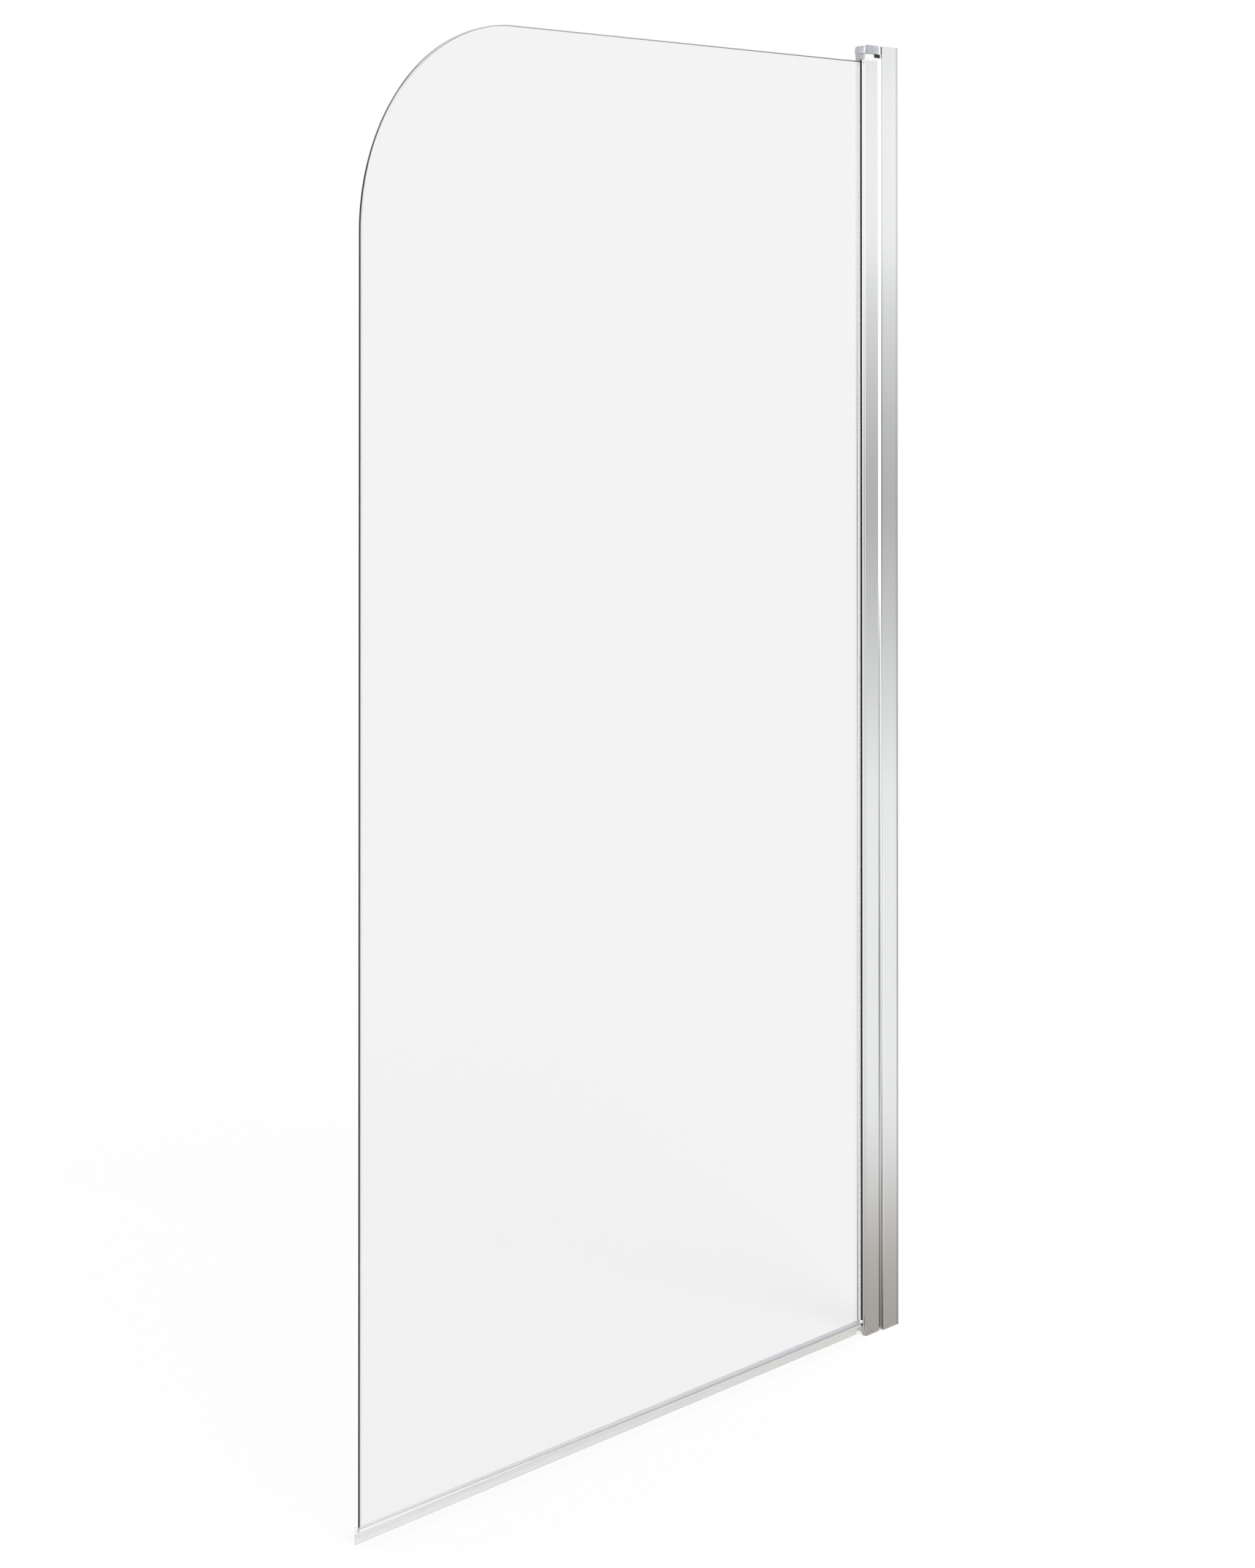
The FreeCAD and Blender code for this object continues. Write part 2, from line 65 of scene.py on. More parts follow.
PHOTO_HEIGHT = 2156                   # pixels
FOCAL_LENGTH_PIXELS = 4134.4
LEVEL_ROW_PIXELS = 398.9              # row of the photograph that the lens points at
CAMERA_PLACE = Vector((-2.6731, -1.9757, 1.1093))
CAMERA_YAW = math.radians(41.463)     # from +X towards +Y
CAMERA_PITCH = math.radians(0.413)
SENSOR_WIDTH = 24.0                   # a full-frame sensor held upright, in mm
SENSOR_HEIGHT = 36.0


def photographer():
    lens = bpy.data.cameras.new("photographer")
    lens.sensor_fit = "VERTICAL"
    lens.sensor_width = SENSOR_WIDTH
    lens.sensor_height = SENSOR_HEIGHT
    lens.lens = FOCAL_LENGTH_PIXELS / PHOTO_HEIGHT * SENSOR_HEIGHT
    lens.shift_y = (LEVEL_ROW_PIXELS - PHOTO_HEIGHT / 2) / PHOTO_HEIGHT
    lens.clip_start, lens.clip_end = 0.05, 100.0
    camera = bpy.data.objects.new("photographer", lens)
    level = math.cos(CAMERA_PITCH)
    gaze = Vector((level * math.cos(CAMERA_YAW), level * math.sin(CAMERA_YAW),
                   math.sin(CAMERA_PITCH)))
    camera.location = CAMERA_PLACE
    camera.rotation_euler = gaze.to_track_quat("-Z", "Y").to_euler()
    bpy.context.scene.collection.objects.link(camera)
    bpy.context.scene.camera = camera


# ---- shader helpers -----------------------------------------------------------------------

def add(tree, kind, inputs=None, **settings):
    """Adds a node with its settings, and with values or links on the named inputs."""
    node = tree.nodes.new(kind)
    for key, value in settings.items():
        setattr(node, key, value)
    for key, value in (inputs or {}).items():
        if isinstance(value, bpy.types.NodeSocket):
            tree.links.new(value, node.inputs[key])
        else:
            node.inputs[key].default_value = value
    return node


def maths(tree, operation, a, b=0.0):
    return add(tree, "ShaderNodeMath", {0: a, 1: b}, operation=operation).outputs[0]


def blend(tree, factor, a, b):
    """Colour a where the factor is 0 and colour b where it is 1."""
    mix = add(tree, "ShaderNodeMix", {0: factor, 6: a, 7: b}, data_type="RGBA")
    return mix.outputs[2]


def spread(tree, value, low, high, to_low, to_high):
    """Maps low..high to to_low..to_high, clamped."""
    node = add(tree, "ShaderNodeMapRange", {0: value, 1: low, 2: high, 3: to_low, 4: to_high})
    return node.outputs[0]


def before(tree, value, edge):
    """1 before an edge and 0 past it; the edge is the start and the end of the change."""
    return spread(tree, value, *edge, 1.0, 0.0)


def past(tree, value, edge):
    """0 before an edge and 1 past it."""
    return spread(tree, value, *edge, 0.0, 1.0)


def product(tree, *factors):
    result = factors[0]
    for factor in factors[1:]:
        result = maths(tree, "MULTIPLY", result, factor)
    return result


def grey(value):
    return (value, value, value, 1.0)


def ramp_through(tree, value, stops):
    """Colour that goes straight from one (value, colour) stop to the next."""
    lowest, highest = stops[0][0], stops[-1][0]
    ramp = add(tree, "ShaderNodeValToRGB", {0: past(tree, value, (lowest, highest))})
    elements = ramp.color_ramp.elements
    while len(elements) < len(stops):
        elements.new(0.5)
    for element, (at, colour) in zip(elements, stops):
        element.position = (at - lowest) / (highest - lowest)
        element.color = colour
    return ramp.outputs[0]


def place_on_part(tree):
    """X, Y and Z of the point in metres."""
    place = add(tree, "ShaderNodeTexCoord").outputs["Object"]
    return add(tree, "ShaderNodeSeparateXYZ", {0: place}).outputs


def facing(tree):
    """X, Y and Z of the direction that the surface faces."""
    normal = add(tree, "ShaderNodeTexCoord").outputs["Normal"]
    return add(tree, "ShaderNodeSeparateXYZ", {0: normal}).outputs


def new_group(name, inputs, outputs):
    """Node group with float inputs {name: default} and outputs {name: socket type}."""
    group = bpy.data.node_groups.new(name, "ShaderNodeTree")
    for key, default in inputs.items():
        socket = group.interface.new_socket(key, in_out="INPUT", socket_type="NodeSocketFloat")
        socket.default_value = default
    for key, kind in outputs.items():
        group.interface.new_socket(key, in_out="OUTPUT", socket_type=kind)
    source = group.nodes.new("NodeGroupInput")
    sink = group.nodes.new("NodeGroupOutput")
    return group, source.outputs, sink.inputs


def stretched_place(tree, across, along):
    """Object coordinates, scaled across the extrusion and along its length."""
    scales = (across, across, along)
    scaled = [product(tree, *pair) for pair in zip(place_on_part(tree), scales)]
    return add(tree, "ShaderNodeCombineXYZ", dict(enumerate(scaled))).outputs[0]


def die_lines_group():
    """Faint long lines that an extrusion die leaves, running along Z."""
    group, given, result = new_group(
        "die_lines", {"Across": 900.0, "Along": 1.5, "Depth": 1.0},
        {"Shade": "NodeSocketFloat", "Height": "NodeSocketFloat"})
    place = stretched_place(group, given["Across"], given["Along"])
    lines = add(group, "ShaderNodeTexNoise", {"Vector": place, "Scale": 1.0, "Detail": 3.0,
                                              "Roughness": 0.6}).outputs[0]
    centred = maths(group, "SUBTRACT", lines, 0.5)
    group.links.new(centred, result["Shade"])
    group.links.new(maths(group, "MULTIPLY", centred, given["Depth"]), result["Height"])
    return group


def fine_grain_group():
    """Even speckle of cast, moulded or anodised skin."""
    group, given, result = new_group(
        "fine_grain", {"Scale": 2500.0, "Depth": 1.0},
        {"Shade": "NodeSocketFloat", "Height": "NodeSocketFloat"})
    place = add(group, "ShaderNodeTexCoord").outputs["Object"]
    grain = add(group, "ShaderNodeTexNoise", {"Vector": place, "Scale": given["Scale"],
                                              "Detail": 2.0}).outputs[0]
    centred = maths(group, "SUBTRACT", grain, 0.5)
    group.links.new(centred, result["Shade"])
    group.links.new(maths(group, "MULTIPLY", centred, given["Depth"]), result["Height"])
    return group


def soft_clouds_group():
    """Broad uneven patches: wiping marks on metal, flow marks in plastic."""
    group, given, result = new_group(
        "soft_clouds", {"Scale": 14.0, "Contrast": 1.0}, {"Shade": "NodeSocketFloat"})
    place = add(group, "ShaderNodeTexCoord").outputs["Object"]
    clouds = add(group, "ShaderNodeTexNoise", {"Vector": place, "Scale": given["Scale"],
                                               "Detail": 4.0, "Distortion": 0.6}).outputs[0]
    centred = maths(group, "SUBTRACT", clouds, 0.5)
    group.links.new(maths(group, "MULTIPLY", centred, given["Contrast"]), result["Shade"])
    return group


DIE_LINES = die_lines_group()
FINE_GRAIN = fine_grain_group()
SOFT_CLOUDS = soft_clouds_group()


def place_group(tree, group, **values):
    node = add(tree, "ShaderNodeGroup", node_tree=group)
    for key, value in values.items():
        node.inputs[key].default_value = value
    return node.outputs


def new_material(name):
    material = bpy.data.materials.new(name)
    material.use_nodes = True
    tree = material.node_tree
    return material, tree, tree.nodes["Principled BSDF"], tree.nodes["Material Output"]


def wire(tree, shader, **links):
    """Links or sets the shader's inputs; a double underscore in a name stands for a space."""
    for key, value in links.items():
        socket = shader.inputs[key.replace("__", " ")]
        if isinstance(value, bpy.types.NodeSocket):
            tree.links.new(value, socket)
        else:
            socket.default_value = value


def shaded(tree, dark, light, shade, gain):
    """Colour between dark and light, moved by a centred shade."""
    factor = add(tree, "ShaderNodeMath", {0: shade, 1: gain, 2: 0.5}, operation="MULTIPLY_ADD",
                 use_clamp=True).outputs[0]
    return blend(tree, factor, dark, light)


def varied(tree, shade, low, high):
    """Number between low and high, moved by a centred shade."""
    return spread(tree, shade, -0.4, 0.4, low, high)


def bumped(tree, height, strength, distance, normal=None):
    inputs = {"Height": height, "Strength": strength, "Distance": distance}
    if normal is not None:
        inputs["Normal"] = normal
    return add(tree, "ShaderNodeBump", inputs).outputs[0]


def leaning(tree, factor, own, direction):
    """Normal that goes from the surface's own to another direction as the factor grows."""
    mix = add(tree, "ShaderNodeMix", {0: factor, 4: own, 5: direction}, data_type="VECTOR")
    return mix.outputs[1]


# ---- finishes -----------------------------------------------------------------------------

FINE_RELIEF = 0.05 * MM               # depths of the bumps
RELIEF = 0.1 * MM
PANE_WAVES = 0.5 * MM
SIDE_ON = (-0.9, -0.6)                # a face looks along -X or -Y where that part of its
                                      # direction is below the first of these

# Zones on the section of the wall profile: each is an edge in X or in Y.
WALL_LIP_X = (-25.9 * MM, -25.8 * MM)
WALL_LIP_Y = (-8.7 * MM, -8.6 * MM)
WALL_FRONT_Y = (-10.15 * MM, -10.1 * MM)
WALL_EASED_X = (-2.9 * MM, -2.7 * MM)
WALL_LINE_X = (-4.2 * MM, -4.0 * MM)  # a faint line begins here, beside the eased edge
WALL_LIP_TURN = (-0.85, -0.35)        # X of the directions round the lip that catch light
FRONT = (0.0, -1.0, 0.0)
EASED = (0.6, -0.8, 0.0)

# Painted light: a glow at each height in metres that stands in for the light that gathers in
# the gap: on the adjusting profile's nose, on the front edge of that nose, and on the wall
# profile's rounded lip.
NOSE_GLOW = ((0.0, 0.08), (0.1, 0.11), (0.18, 0.18), (0.26, 0.13), (0.34, 0.1), (0.42, 0.1),
             (0.5, 0.14), (0.58, 0.19), (0.66, 0.19), (0.735, 0.2), (0.79, 0.38), (0.83, 0.58),
             (1.4, 0.62))
EDGE_GLOW = ((0.0, 0.0), (0.15, 0.0), (0.3, 0.38), (0.5, 0.6), (0.66, 0.52), (0.78, 0.2),
             (0.87, 0.1), (1.0, 0.12), (1.13, 0.38), (1.21, 0.6), (1.4, 0.5))
LIP_GLOW = ((0.0, 0.03), (0.03, 0.06), (0.1, 0.3), (0.34, 0.42), (0.6, 0.33), (0.75, 0.26),
            (0.9, 0.12), (1.1, 0.12), (1.2, 0.26), (1.4, 0.3))
NOTCH_FOOT = (1.385, 1.387)           # the notch of the end plug keeps its shadow between
NOTCH_HEAD = (1.390, 1.3904)          # these heights
EDGE_SHADE = 0.4                      # painted shade: how much darker the front edge of the nose is
FOOT_SHADE = (0.02, 0.22, 0.85, 0.0)   # painted shade: a dark warm tone fades out between the first two heights


def glow_by_height(tree, z, stops):
    return ramp_through(tree, z, [(height, grey(glow)) for height, glow in stops])


def bright_aluminium(name, at_wall=False):
    """Extruded aluminium, chemically brightened and anodised.

    The wall profile has its own version: its front lip is as calm as its face and has a painted
    glow where it turns towards the gap, and the long edge at the wall is eased, with a faint line
    beside it.
    """
    material, tree, shader, _ = new_material(name)
    lines = place_group(tree, DIE_LINES, Across=1400.0, Along=2.0, Depth=1.0)
    grain = place_group(tree, FINE_GRAIN, Scale=1800.0, Depth=1.0)
    clouds = place_group(tree, SOFT_CLOUDS, Scale=9.0, Contrast=1.0)
    shade = maths(tree, "ADD", lines["Shade"], product(tree, grain["Shade"], 0.5))
    colour = shaded(tree, (0.786, 0.793, 0.796, 1), (0.836, 0.843, 0.846, 1), shade, 0.9)
    rough = spread(tree, maths(tree, "ADD", clouds["Shade"], lines["Shade"]),
                   -0.5, 0.5, 0.06, 0.10)
    height = maths(tree, "ADD", lines["Height"], grain["Height"])
    normal = None
    if at_wall:
        x, y, z = place_on_part(tree)
        at_lip = product(tree, before(tree, x, WALL_LIP_X), before(tree, y, WALL_LIP_Y))
        on_face = before(tree, y, WALL_FRONT_Y)
        eased = product(tree, on_face, past(tree, x, WALL_EASED_X))
        own = add(tree, "ShaderNodeNewGeometry").outputs["Normal"]
        normal = leaning(tree, eased, leaning(tree, at_lip, own, FRONT), EASED)
        beside = product(tree, past(tree, x, WALL_LINE_X), maths(tree, "SUBTRACT", on_face, eased))
        colour = blend(tree, beside, colour, (0.66, 0.665, 0.67, 1))
        # Painted light: where the lip turns towards the gap it glows, by height.
        turning = product(tree, at_lip, before(tree, facing(tree)[0], WALL_LIP_TURN))
        painted_glow = product(tree, glow_by_height(tree, z, LIP_GLOW), turning)
        wire(tree, shader, Emission__Color=blend(tree, painted_glow, grey(0.0), grey(1.0)),
             Emission__Strength=1.0)
    wire(tree, shader, Base__Color=colour, Metallic=1.0, Roughness=rough,
         Normal=bumped(tree, height, 0.04, RELIEF, normal))
    return material


def satin_aluminium():
    """Matt-etched skin of the adjusting profile, with painted glow on its nose and front edge, and
    painted shade on that edge and at its foot.
    """
    material, tree, shader, _ = new_material("satin_aluminium")
    lines = place_group(tree, DIE_LINES, Across=1100.0, Along=3.0, Depth=1.0)
    grain = place_group(tree, FINE_GRAIN, Scale=1500.0, Depth=0.6)
    shade = maths(tree, "ADD", lines["Shade"], grain["Shade"])
    z = place_on_part(tree)[2]
    left, near, _ = facing(tree)
    colour = shaded(tree, (0.80, 0.805, 0.81, 1), (0.88, 0.885, 0.89, 1), shade, 0.9)
    # Painted shade: a dark warm tone at the foot of the nose.
    colour = blend(tree, spread(tree, z, *FOOT_SHADE), colour, (0.33, 0.29, 0.235, 1))
    on_nose, on_edge = before(tree, left, SIDE_ON), before(tree, near, SIDE_ON)
    # Painted shade: the front edge of the nose darkens towards black.
    colour = blend(tree, product(tree, on_edge, EDGE_SHADE), colour, grey(0.0))
    # Painted light: the nose and its front edge glow by height, except in the notch.
    painted_glow = maths(tree, "ADD", product(tree, glow_by_height(tree, z, NOSE_GLOW), on_nose),
                     product(tree, glow_by_height(tree, z, EDGE_GLOW), on_edge))
    at_notch = product(tree, past(tree, z, NOTCH_FOOT), before(tree, z, NOTCH_HEAD))
    painted_glow = product(tree, painted_glow, maths(tree, "SUBTRACT", 1.0, at_notch))
    wire(tree, shader, Base__Color=colour, Metallic=1.0,
         Roughness=varied(tree, lines["Shade"], 0.3, 0.36),
         Emission__Color=blend(tree, painted_glow, grey(0.0), grey(1.0)), Emission__Strength=1.0,
         Normal=bumped(tree, lines["Height"], 0.08, RELIEF))
    return material


def satin_casting():
    """Die-cast head of the pivot bracket with a satin plated skin."""
    material, tree, shader, _ = new_material("satin_casting")
    grain = place_group(tree, FINE_GRAIN, Scale=3200.0, Depth=1.0)
    clouds = place_group(tree, SOFT_CLOUDS, Scale=420.0, Contrast=1.6)
    shade = maths(tree, "ADD", product(tree, grain["Shade"], 0.6), clouds["Shade"])
    wire(tree, shader, Metallic=1.0, Roughness=varied(tree, clouds["Shade"], 0.17, 0.24),
         Base__Color=shaded(tree, (0.42, 0.44, 0.47, 1), (0.60, 0.62, 0.66, 1), shade, 1.2),
         Normal=bumped(tree, grain["Height"], 0.15, FINE_RELIEF))
    return material


def plated_trim():
    """Chrome-plated plastic of the top cap and the screw caps."""
    material, tree, shader, _ = new_material("plated_trim")
    clouds = place_group(tree, SOFT_CLOUDS, Scale=60.0, Contrast=1.0)["Shade"]
    grain = place_group(tree, FINE_GRAIN, Scale=2600.0, Depth=0.5)
    wire(tree, shader, Metallic=1.0, Roughness=varied(tree, clouds, 0.08, 0.13),
         Base__Color=shaded(tree, (0.78, 0.79, 0.80, 1), (0.84, 0.85, 0.86, 1), clouds, 1.0),
         Normal=bumped(tree, grain["Height"], 0.05, FINE_RELIEF))
    return material


def screw_steel():
    """Plain stainless steel of the screws, the pins and the thrust washer."""
    material, tree, shader, _ = new_material("screw_steel")
    clouds = place_group(tree, SOFT_CLOUDS, Scale=200.0, Contrast=1.0)["Shade"]
    grain = place_group(tree, FINE_GRAIN, Scale=1900.0, Depth=1.0)
    wire(tree, shader, Metallic=1.0, Roughness=varied(tree, grain["Shade"], 0.22, 0.34),
         Base__Color=shaded(tree, (0.55, 0.55, 0.54, 1), (0.66, 0.66, 0.65, 1), clouds, 1.2),
         Normal=bumped(tree, grain["Height"], 0.1, FINE_RELIEF))
    return material


def moulded_plastic(name, dark, light, rough, grain_scale, specular, painted_end_tone=1.0):
    """Injection-moulded skin with a fine grain and faint flow marks; the face that looks along -X
    can take a painted tone: painted shade below 1, painted light above it.
    """
    material, tree, shader, _ = new_material(name)
    grain = place_group(tree, FINE_GRAIN, Scale=grain_scale, Depth=1.0)
    clouds = place_group(tree, SOFT_CLOUDS, Scale=120.0, Contrast=1.0)
    shade = maths(tree, "ADD", grain["Shade"], clouds["Shade"])
    colour = shaded(tree, dark, light, shade, 0.9)
    # Painted shade or painted light on the face that looks along -X.
    if painted_end_tone != 1:
        end = (*(painted_end_tone * part for part in light[:3]), 1)
        colour = blend(tree, before(tree, facing(tree)[0], SIDE_ON), colour, end)
    wire(tree, shader, Base__Color=colour, Specular__IOR__Level=specular,
         Roughness=varied(tree, clouds["Shade"], rough - 0.04, rough + 0.04),
         Normal=bumped(tree, grain["Height"], 0.12, FINE_RELIEF))
    return material


def see_through(tree, shader, output, tint):
    """Lets lamps, bounced light and soft reflections pass straight through the piece."""
    path = add(tree, "ShaderNodeLightPath").outputs
    blurred = maths(tree, "SUBTRACT", path["Is Glossy Ray"], path["Is Singular Ray"])
    unseen = maths(tree, "MAXIMUM", path["Is Shadow Ray"], path["Is Diffuse Ray"])
    passing = maths(tree, "MAXIMUM", unseen, blurred)
    clear = add(tree, "ShaderNodeBsdfTransparent", {"Color": tint}).outputs[0]
    mix = add(tree, "ShaderNodeMixShader", {0: passing, 1: shader.outputs[0], 2: clear})
    tree.links.new(mix.outputs[0], output.inputs["Surface"])


def float_glass():
    """Clear toughened pane, with the slight waviness of its faces."""
    material, tree, shader, output = new_material("float_glass")
    clouds = place_group(tree, SOFT_CLOUDS, Scale=2.2, Contrast=1.0)["Shade"]
    tint = shaded(tree, (0.886, 0.888, 0.888, 1), (0.892, 0.894, 0.894, 1), clouds, 1.0)
    wire(tree, shader, Base__Color=tint, Roughness=0.0, IOR=1.5, Transmission__Weight=1.0,
         Normal=bumped(tree, clouds, 0.02, PANE_WAVES))
    see_through(tree, shader, output, (0.93, 0.94, 0.935, 1))
    return material


PALE_EDGE_Y = (0.3 * MM, 1.1 * MM)    # painted reflection: the pane's edge is pale in front of these Y,
PALE_EDGE_Z = (15.0 * MM, 16.5 * MM)  # and below these heights, where the seal grips it


def glass_edge():
    """Polished flat of the pane's edge: painted dark shade along the inside of the glass, and a
    painted pale reflection at its front and in the seal.
    """
    material, tree, shader, _ = new_material("glass_edge")
    grain = place_group(tree, FINE_GRAIN, Scale=900.0, Depth=1.0)
    _, y, z = place_on_part(tree)
    # Painted shade: near black along the inside; painted reflection: pale at the front and in the
    # seal.
    dark = shaded(tree, (0.005, 0.006, 0.006, 1), (0.014, 0.016, 0.015, 1), grain["Shade"], 1.0)
    pale = maths(tree, "MAXIMUM", before(tree, y, PALE_EDGE_Y), before(tree, z, PALE_EDGE_Z))
    wire(tree, shader, Base__Color=blend(tree, pale, dark, (0.62, 0.64, 0.65, 1)), IOR=1.35,
         Roughness=varied(tree, grain["Shade"], 0.12, 0.2),
         Normal=bumped(tree, grain["Height"], 0.05, FINE_RELIEF))
    return material


ARRIS_FROSTED = (-0.785, -0.68)       # X over which painted shade darkens the frosted bevel from the free end,
ARRIS_DEEP = (-0.5, -0.08)            # and over which it darkens once more


def ground_arris():
    """Ground bevel along the pane's edge: frosted, with painted shade that makes it darker and
    greener towards the hinge.
    """
    material, tree, shader, _ = new_material("ground_arris")
    grain = place_group(tree, FINE_GRAIN, Scale=2400.0, Depth=1.0)
    x = place_on_part(tree)[0]
    frosted, middle, deep = (
        shaded(tree, (*dark, 1), (*light, 1), grain["Shade"], 1.0) for dark, light in (
            ((0.76, 0.77, 0.77), (0.84, 0.85, 0.85)),
            ((0.27, 0.285, 0.28), (0.37, 0.385, 0.38)),
            ((0.06, 0.075, 0.07), (0.10, 0.115, 0.11))))
    # Painted shade: the bevel darkens in two steps towards the hinge.
    colour = blend(tree, past(tree, x, ARRIS_FROSTED), frosted, middle)
    colour = blend(tree, past(tree, x, ARRIS_DEEP), colour, deep)
    wire(tree, shader, Base__Color=colour, Roughness=0.45, IOR=1.5,
         Normal=bumped(tree, grain["Height"], 0.2, FINE_RELIEF))
    return material


FRONT_FLANGE_DIP = (-0.78, -0.36)     # the seal's front flange falls between these X,
FRONT_FLANGE_TOP = (15.9 * MM, 12.9 * MM)         # from the first height to the second
VINYL_SHADE_ALONG = (-0.72, -0.06)            # X over which painted shade darkens the vinyl towards the hinge
VINYL_VARIATION = 0.035
REAR_FLANGE_Y = (0.5 * MM, 1.5 * MM)
REAR_FLANGE_Z = (9.0 * MM, 10.0 * MM)
FRONT_HALF_Y = (0.0, 1.0 * MM)
SHADE_LINE_BELOW_LIP = 0.25 * MM           # a painted shade line runs so far under the lip,
SHADE_LINE_EDGE = (0.3 * MM, 0.75 * MM)    # this far to each side,
SHADE_LINE_GROWTH = (-0.78, -0.5, 0.4, 0.75)           # and grows between two X
SHEEN_START = (0.6 * MM, 0.9 * MM)    # a painted sheen begins and ends so far under that line,
SHEEN_END = (2.6 * MM, 3.3 * MM)
SHEEN_LOSS = (-0.74, -0.56, 0.95, 0.35)           # and weakens between two X


def clear_vinyl():
    """Soft vinyl: lavender where it stands behind the pane, plainer in front, with painted shade
    that makes it darker and beige towards the hinge, a painted shade line under the front lip and
    a painted sheen below it.
    """
    material, tree, shader, output = new_material("clear_vinyl")
    clouds = place_group(tree, SOFT_CLOUDS, Scale=30.0, Contrast=1.0)["Shade"]
    grain = place_group(tree, FINE_GRAIN, Scale=700.0, Depth=1.0)
    x, y, z = place_on_part(tree)

    def mottled(middle):
        dark, light = ((*(part * gain for part in middle), 1)
                       for gain in (1 - VINYL_VARIATION, 1 + VINYL_VARIATION))
        return shaded(tree, dark, light, clouds, 1.0)

    def darkened_to_hinge(free_end_tone, hinge_tone):
        """Colour that goes from one tone at the free end to a darker painted-shade tone at the
        hinge.
        """
        return blend(tree, past(tree, x, VINYL_SHADE_ALONG), mottled(free_end_tone), mottled(hinge_tone))

    rear = product(tree, past(tree, y, REAR_FLANGE_Y), past(tree, z, REAR_FLANGE_Z))
    # Painted shade: both tones darken towards the hinge.
    tint = blend(tree, rear, darkened_to_hinge((0.85, 0.85, 0.845), (0.69, 0.67, 0.635)),
                 darkened_to_hinge((0.97, 0.97, 0.985), (0.70, 0.70, 0.74)))
    in_front = before(tree, y, FRONT_HALF_Y)
    line = spread(tree, x, *FRONT_FLANGE_DIP, *(top - SHADE_LINE_BELOW_LIP for top in FRONT_FLANGE_TOP))
    below_line = maths(tree, "SUBTRACT", line, z)
    # Painted shade: a dark line just under the front flange's lip, stronger towards the hinge.
    painted_shade_line = product(tree, before(tree, maths(tree, "ABSOLUTE", below_line), SHADE_LINE_EDGE),
                    in_front, spread(tree, x, *SHADE_LINE_GROWTH))
    tint = blend(tree, painted_shade_line, tint, (0.30, 0.29, 0.33, 1))
    # Painted highlight: a pale sheen below that line, strongest at the free end.
    painted_sheen = product(tree, past(tree, below_line, SHEEN_START), before(tree, below_line, SHEEN_END),
                    in_front, spread(tree, x, *SHEEN_LOSS))
    tint = blend(tree, painted_sheen, tint, (0.99, 0.99, 1.0, 1))
    wire(tree, shader, Base__Color=tint, Roughness=varied(tree, clouds, 0.14, 0.24), IOR=1.5,
         Transmission__Weight=0.3, Normal=bumped(tree, grain["Height"], 0.05, RELIEF))
    see_through(tree, shader, output, (0.88, 0.88, 0.9, 1))
    return material


MILKY_GLOW = (0.3, 0.72)              # painted light: glow of the pale strip, and of the line on the glass
MILKY_LINE_X = (-54.8 * MM, -54.0 * MM)


def milky_vinyl():
    """Translucent strip behind the pane: pale and soft, with a painted glow that is brighter in a
    line on the glass.
    """
    material, tree, shader, _ = new_material("milky_vinyl")
    lines = place_group(tree, DIE_LINES, Across=1300.0, Along=8.0, Depth=1.0)
    grain = place_group(tree, FINE_GRAIN, Scale=900.0, Depth=1.0)
    shade = maths(tree, "ADD", lines["Shade"], grain["Shade"])
    colour = shaded(tree, (0.80, 0.81, 0.82, 1), (0.88, 0.89, 0.90, 1), shade, 0.9)
    # Painted light: the strip glows, more where it faces the glass.
    line = product(tree, before(tree, facing(tree)[1], SIDE_ON),
                   past(tree, place_on_part(tree)[0], MILKY_LINE_X))
    glow = spread(tree, line, 0.0, 1.0, *MILKY_GLOW)
    wire(tree, shader, Base__Color=colour, IOR=1.5, Transmission__Weight=0.3,
         Roughness=varied(tree, grain["Shade"], 0.22, 0.32),
         Emission__Color=blend(tree, glow, grey(0.0), colour), Emission__Strength=1.0,
         Normal=bumped(tree, lines["Height"], 0.08, FINE_RELIEF))
    return material


def black_rubber():
    """Matt black rubber of the front strip and the setting pad."""
    material, tree, shader, _ = new_material("black_rubber")
    lines = place_group(tree, DIE_LINES, Across=1500.0, Along=6.0, Depth=1.0)
    grain = place_group(tree, FINE_GRAIN, Scale=1600.0, Depth=1.0)
    shade = maths(tree, "ADD", lines["Shade"], grain["Shade"])
    height = maths(tree, "ADD", lines["Height"], grain["Height"])
    wire(tree, shader, Roughness=varied(tree, grain["Shade"], 0.46, 0.6),
         Base__Color=shaded(tree, (0.004, 0.004, 0.004, 1), (0.011, 0.011, 0.011, 1), shade, 1.0),
         Specular__IOR__Level=0.25, Normal=bumped(tree, height, 0.15, FINE_RELIEF))
    return material


BRIGHT_ALUMINIUM = bright_aluminium("bright_aluminium")
WALL_ALUMINIUM = bright_aluminium("wall_aluminium", at_wall=True)
SATIN_ALUMINIUM = satin_aluminium()
SATIN_CASTING = satin_casting()
PLATED_TRIM = plated_trim()
SCREW_STEEL = screw_steel()
